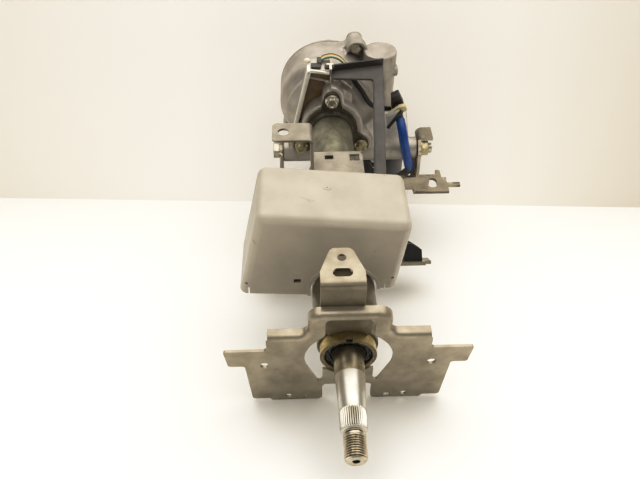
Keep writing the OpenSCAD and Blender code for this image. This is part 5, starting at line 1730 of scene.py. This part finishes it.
@dataclass
class Studio:
    """Floor, wall, soft lights and the camera."""

    eye: Point3 = (-27.19, -152.33, 343.90)
    right: Point3 = (0.99946, -0.03267, 0.00346)
    up: Point3 = (0.02115, 0.72039, 0.69324)
    forward: Point3 = (0.02514, 0.69280, -0.72070)
    focal_px: float = 615.0
    sensor_mm: float = 36.0
    nearest: float = 0.01
    reach: float = 3.0
    wall_left: float = 0.710
    wall_right: float = 0.174
    wall_h: float = 0.34
    floor_tones: tuple[tuple[float, str], ...] = ((0.0, "#FCFBF7"),)
    # Wall colours are painted light: brighter in the middle, darker towards the sides, most to the right
    wall_painted_light_tones: tuple[tuple[float, str], ...] = (
        (-0.42, "#E4DED4"), (-0.16, "#F2EEE8"), (0.2, "#EFEAE2"), (0.4, "#D2CABE"))
    tone_shift: float = 0.5
    # The wall's glow is painted light
    wall_painted_glow: float = 0.21
    paint_rough: float = 0.7
    air: float = 0.24
    air_seen: float = 0.6
    air_colour: str = "#F6F2E8"
    lamp_colour: str = "#FFFCF7"
    lamps: tuple[tuple[str, Point3, float, float], ...] = (
        ("overhead", (0.05, 0.2, 1.3), 2.4, 34.0), ("right_fill", (1.2, -0.7, 0.8), 0.8, 0.8))
    aim: Point3 = (0.0, 0.2, 0.05)
    tone: tuple[Point2, ...] = ((0.1, 0.07), (0.25, 0.2), (0.5, 0.5), (0.75, 0.8))

    def build(self, floor_z: float) -> None:
        """Builds the surroundings.

        Args:
            floor_z: Height of the floor in the row frame.
        """
        turn = Matrix.Rotation(REST_TILT, 3, "X")
        axes = [turn @ Vector(v) for v in (self.right, self.up, [-c for c in self.forward])]
        matrix = Matrix([[axes[c][r] for c in range(3)] for r in range(3)]).to_4x4()
        matrix.translation = TO_ROW @ Vector(self.eye)
        data = bpy.data.cameras.new("photo_camera")
        data.sensor_width = self.sensor_mm
        data.lens = self.focal_px * self.sensor_mm / FRAME_SIZE[0]
        data.clip_start = self.nearest
        camera = bpy.data.objects.new("photo_camera", data)
        camera.matrix_world = matrix
        bpy.context.scene.collection.objects.link(camera)
        bpy.context.scene.camera = camera
        self.ground(floor_z)
        self.lights()

    def ground(self, floor_z: float) -> None:
        """Builds the floor and the wall, which are clear when seen from behind.

        Args:
            floor_z: Height of the floor.
        """
        left, right, top, far = self.wall_left, self.wall_right, floor_z + self.wall_h, self.reach
        for name, tones, glow, corners in (
            ("studio_floor", self.floor_tones, 0.0,
             [(-far, -far, floor_z), (far, -far, floor_z), (far, far, floor_z), (-far, far, floor_z)]),
            # The wall takes painted light: tones that fall off to the sides, and a glow
            ("studio_wall", self.wall_painted_light_tones, self.wall_painted_glow,
             [(-far, left, floor_z), (far, right, floor_z), (far, right, top), (-far, left, top)]),
        ):
            mesh = bpy.data.meshes.new(name)
            mesh.from_pydata(corners, [], [[0, 1, 2, 3]])
            made = bpy.data.materials.new(f"{name}_paint")
            made.use_nodes = True
            shader = made.node_tree.nodes["Principled BSDF"]
            shader.inputs["Roughness"].default_value = self.paint_rough
            shader.inputs["Emission Strength"].default_value = glow
            tree = made.node_tree
            point = add(tree, "ShaderNodeTexCoord").outputs["Object"]
            place = add(tree, "ShaderNodeSeparateXYZ", None, {0: point}).outputs["X"]
            shifted = add(tree, "ShaderNodeMath", {"operation": "ADD"},
                          {0: place, 1: self.tone_shift}).outputs[0]
            ramp = add(tree, "ShaderNodeValToRGB", None, {0: shifted})
            for number, (spot, code) in enumerate(tones):
                stops = ramp.color_ramp.elements
                stop = stops[0] if number == 0 else stops.new(spot + self.tone_shift)
                stop.position, stop.color = spot + self.tone_shift, to_linear(code)
            ramp.color_ramp.elements.remove(ramp.color_ramp.elements[-1])
            for socket in ("Base Color", "Emission Color"):
                tree.links.new(ramp.outputs["Color"], shader.inputs[socket])
            behind = add(tree, "ShaderNodeNewGeometry").outputs["Backfacing"]
            clear = add(tree, "ShaderNodeBsdfTransparent").outputs[0]
            face = add(tree, "ShaderNodeMixShader", None,
                       {0: behind, 1: shader.outputs[0], 2: clear}).outputs[0]
            tree.links.new(face, tree.nodes["Material Output"].inputs["Surface"])
            mesh.materials.append(made)
            obj = bpy.data.objects.new(name, mesh)
            bpy.context.scene.collection.objects.link(obj)
            obj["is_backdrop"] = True

    def lights(self) -> None:
        """Hangs the soft lights: a broad one overhead, towards the wall, and a weak fill from the right."""
        world = bpy.data.worlds.new("studio_air")
        world.use_nodes = True
        world.node_tree.nodes["Background"].inputs["Color"].default_value = to_linear(self.air_colour)
        seen = add(world.node_tree, "ShaderNodeLightPath").outputs["Is Camera Ray"]
        glow = add(world.node_tree, "ShaderNodeMath", {"operation": "MULTIPLY_ADD"},
                   {0: seen, 1: self.air_seen, 2: self.air}).outputs[0]
        world.node_tree.links.new(glow, world.node_tree.nodes["Background"].inputs["Strength"])
        bpy.context.scene.world = world
        for name, place, size, power in self.lamps:
            data = bpy.data.lights.new(name, "AREA")
            data.shape = "SQUARE"
            data.size = size
            data.energy = power
            data.color = to_linear(self.lamp_colour)[:3]
            lamp = bpy.data.objects.new(name, data)
            lamp.location = place
            lamp.rotation_mode = "QUATERNION"
            lamp.rotation_quaternion = (Vector(self.aim) - Vector(place)).to_track_quat("-Z", "Y")
            bpy.context.scene.collection.objects.link(lamp)
        view = bpy.context.scene.view_settings
        view.view_transform = "Standard"
        view.use_curve_mapping = True
        combined = view.curve_mapping.curves[3]
        for place in self.tone:
            combined.points.new(*place)
        view.curve_mapping.update()


def main() -> None:
    """Builds the column's looks piece by piece."""
    logging.basicConfig(level=logging.INFO, format="%(message)s")
    for obj in list(bpy.data.objects):
        bpy.data.objects.remove(obj)
    frame = Frame(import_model())
    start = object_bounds()
    for part in (SteeringShaft(frame), TubeSet(frame), WingBracket(), ControlBox(frame), Saddle(),
                 GearCase(frame), Mountings(frame), Wiring(frame)):
        part.build()
    Studio().build(start[0].z)


if __name__ == "__main__":
    main()
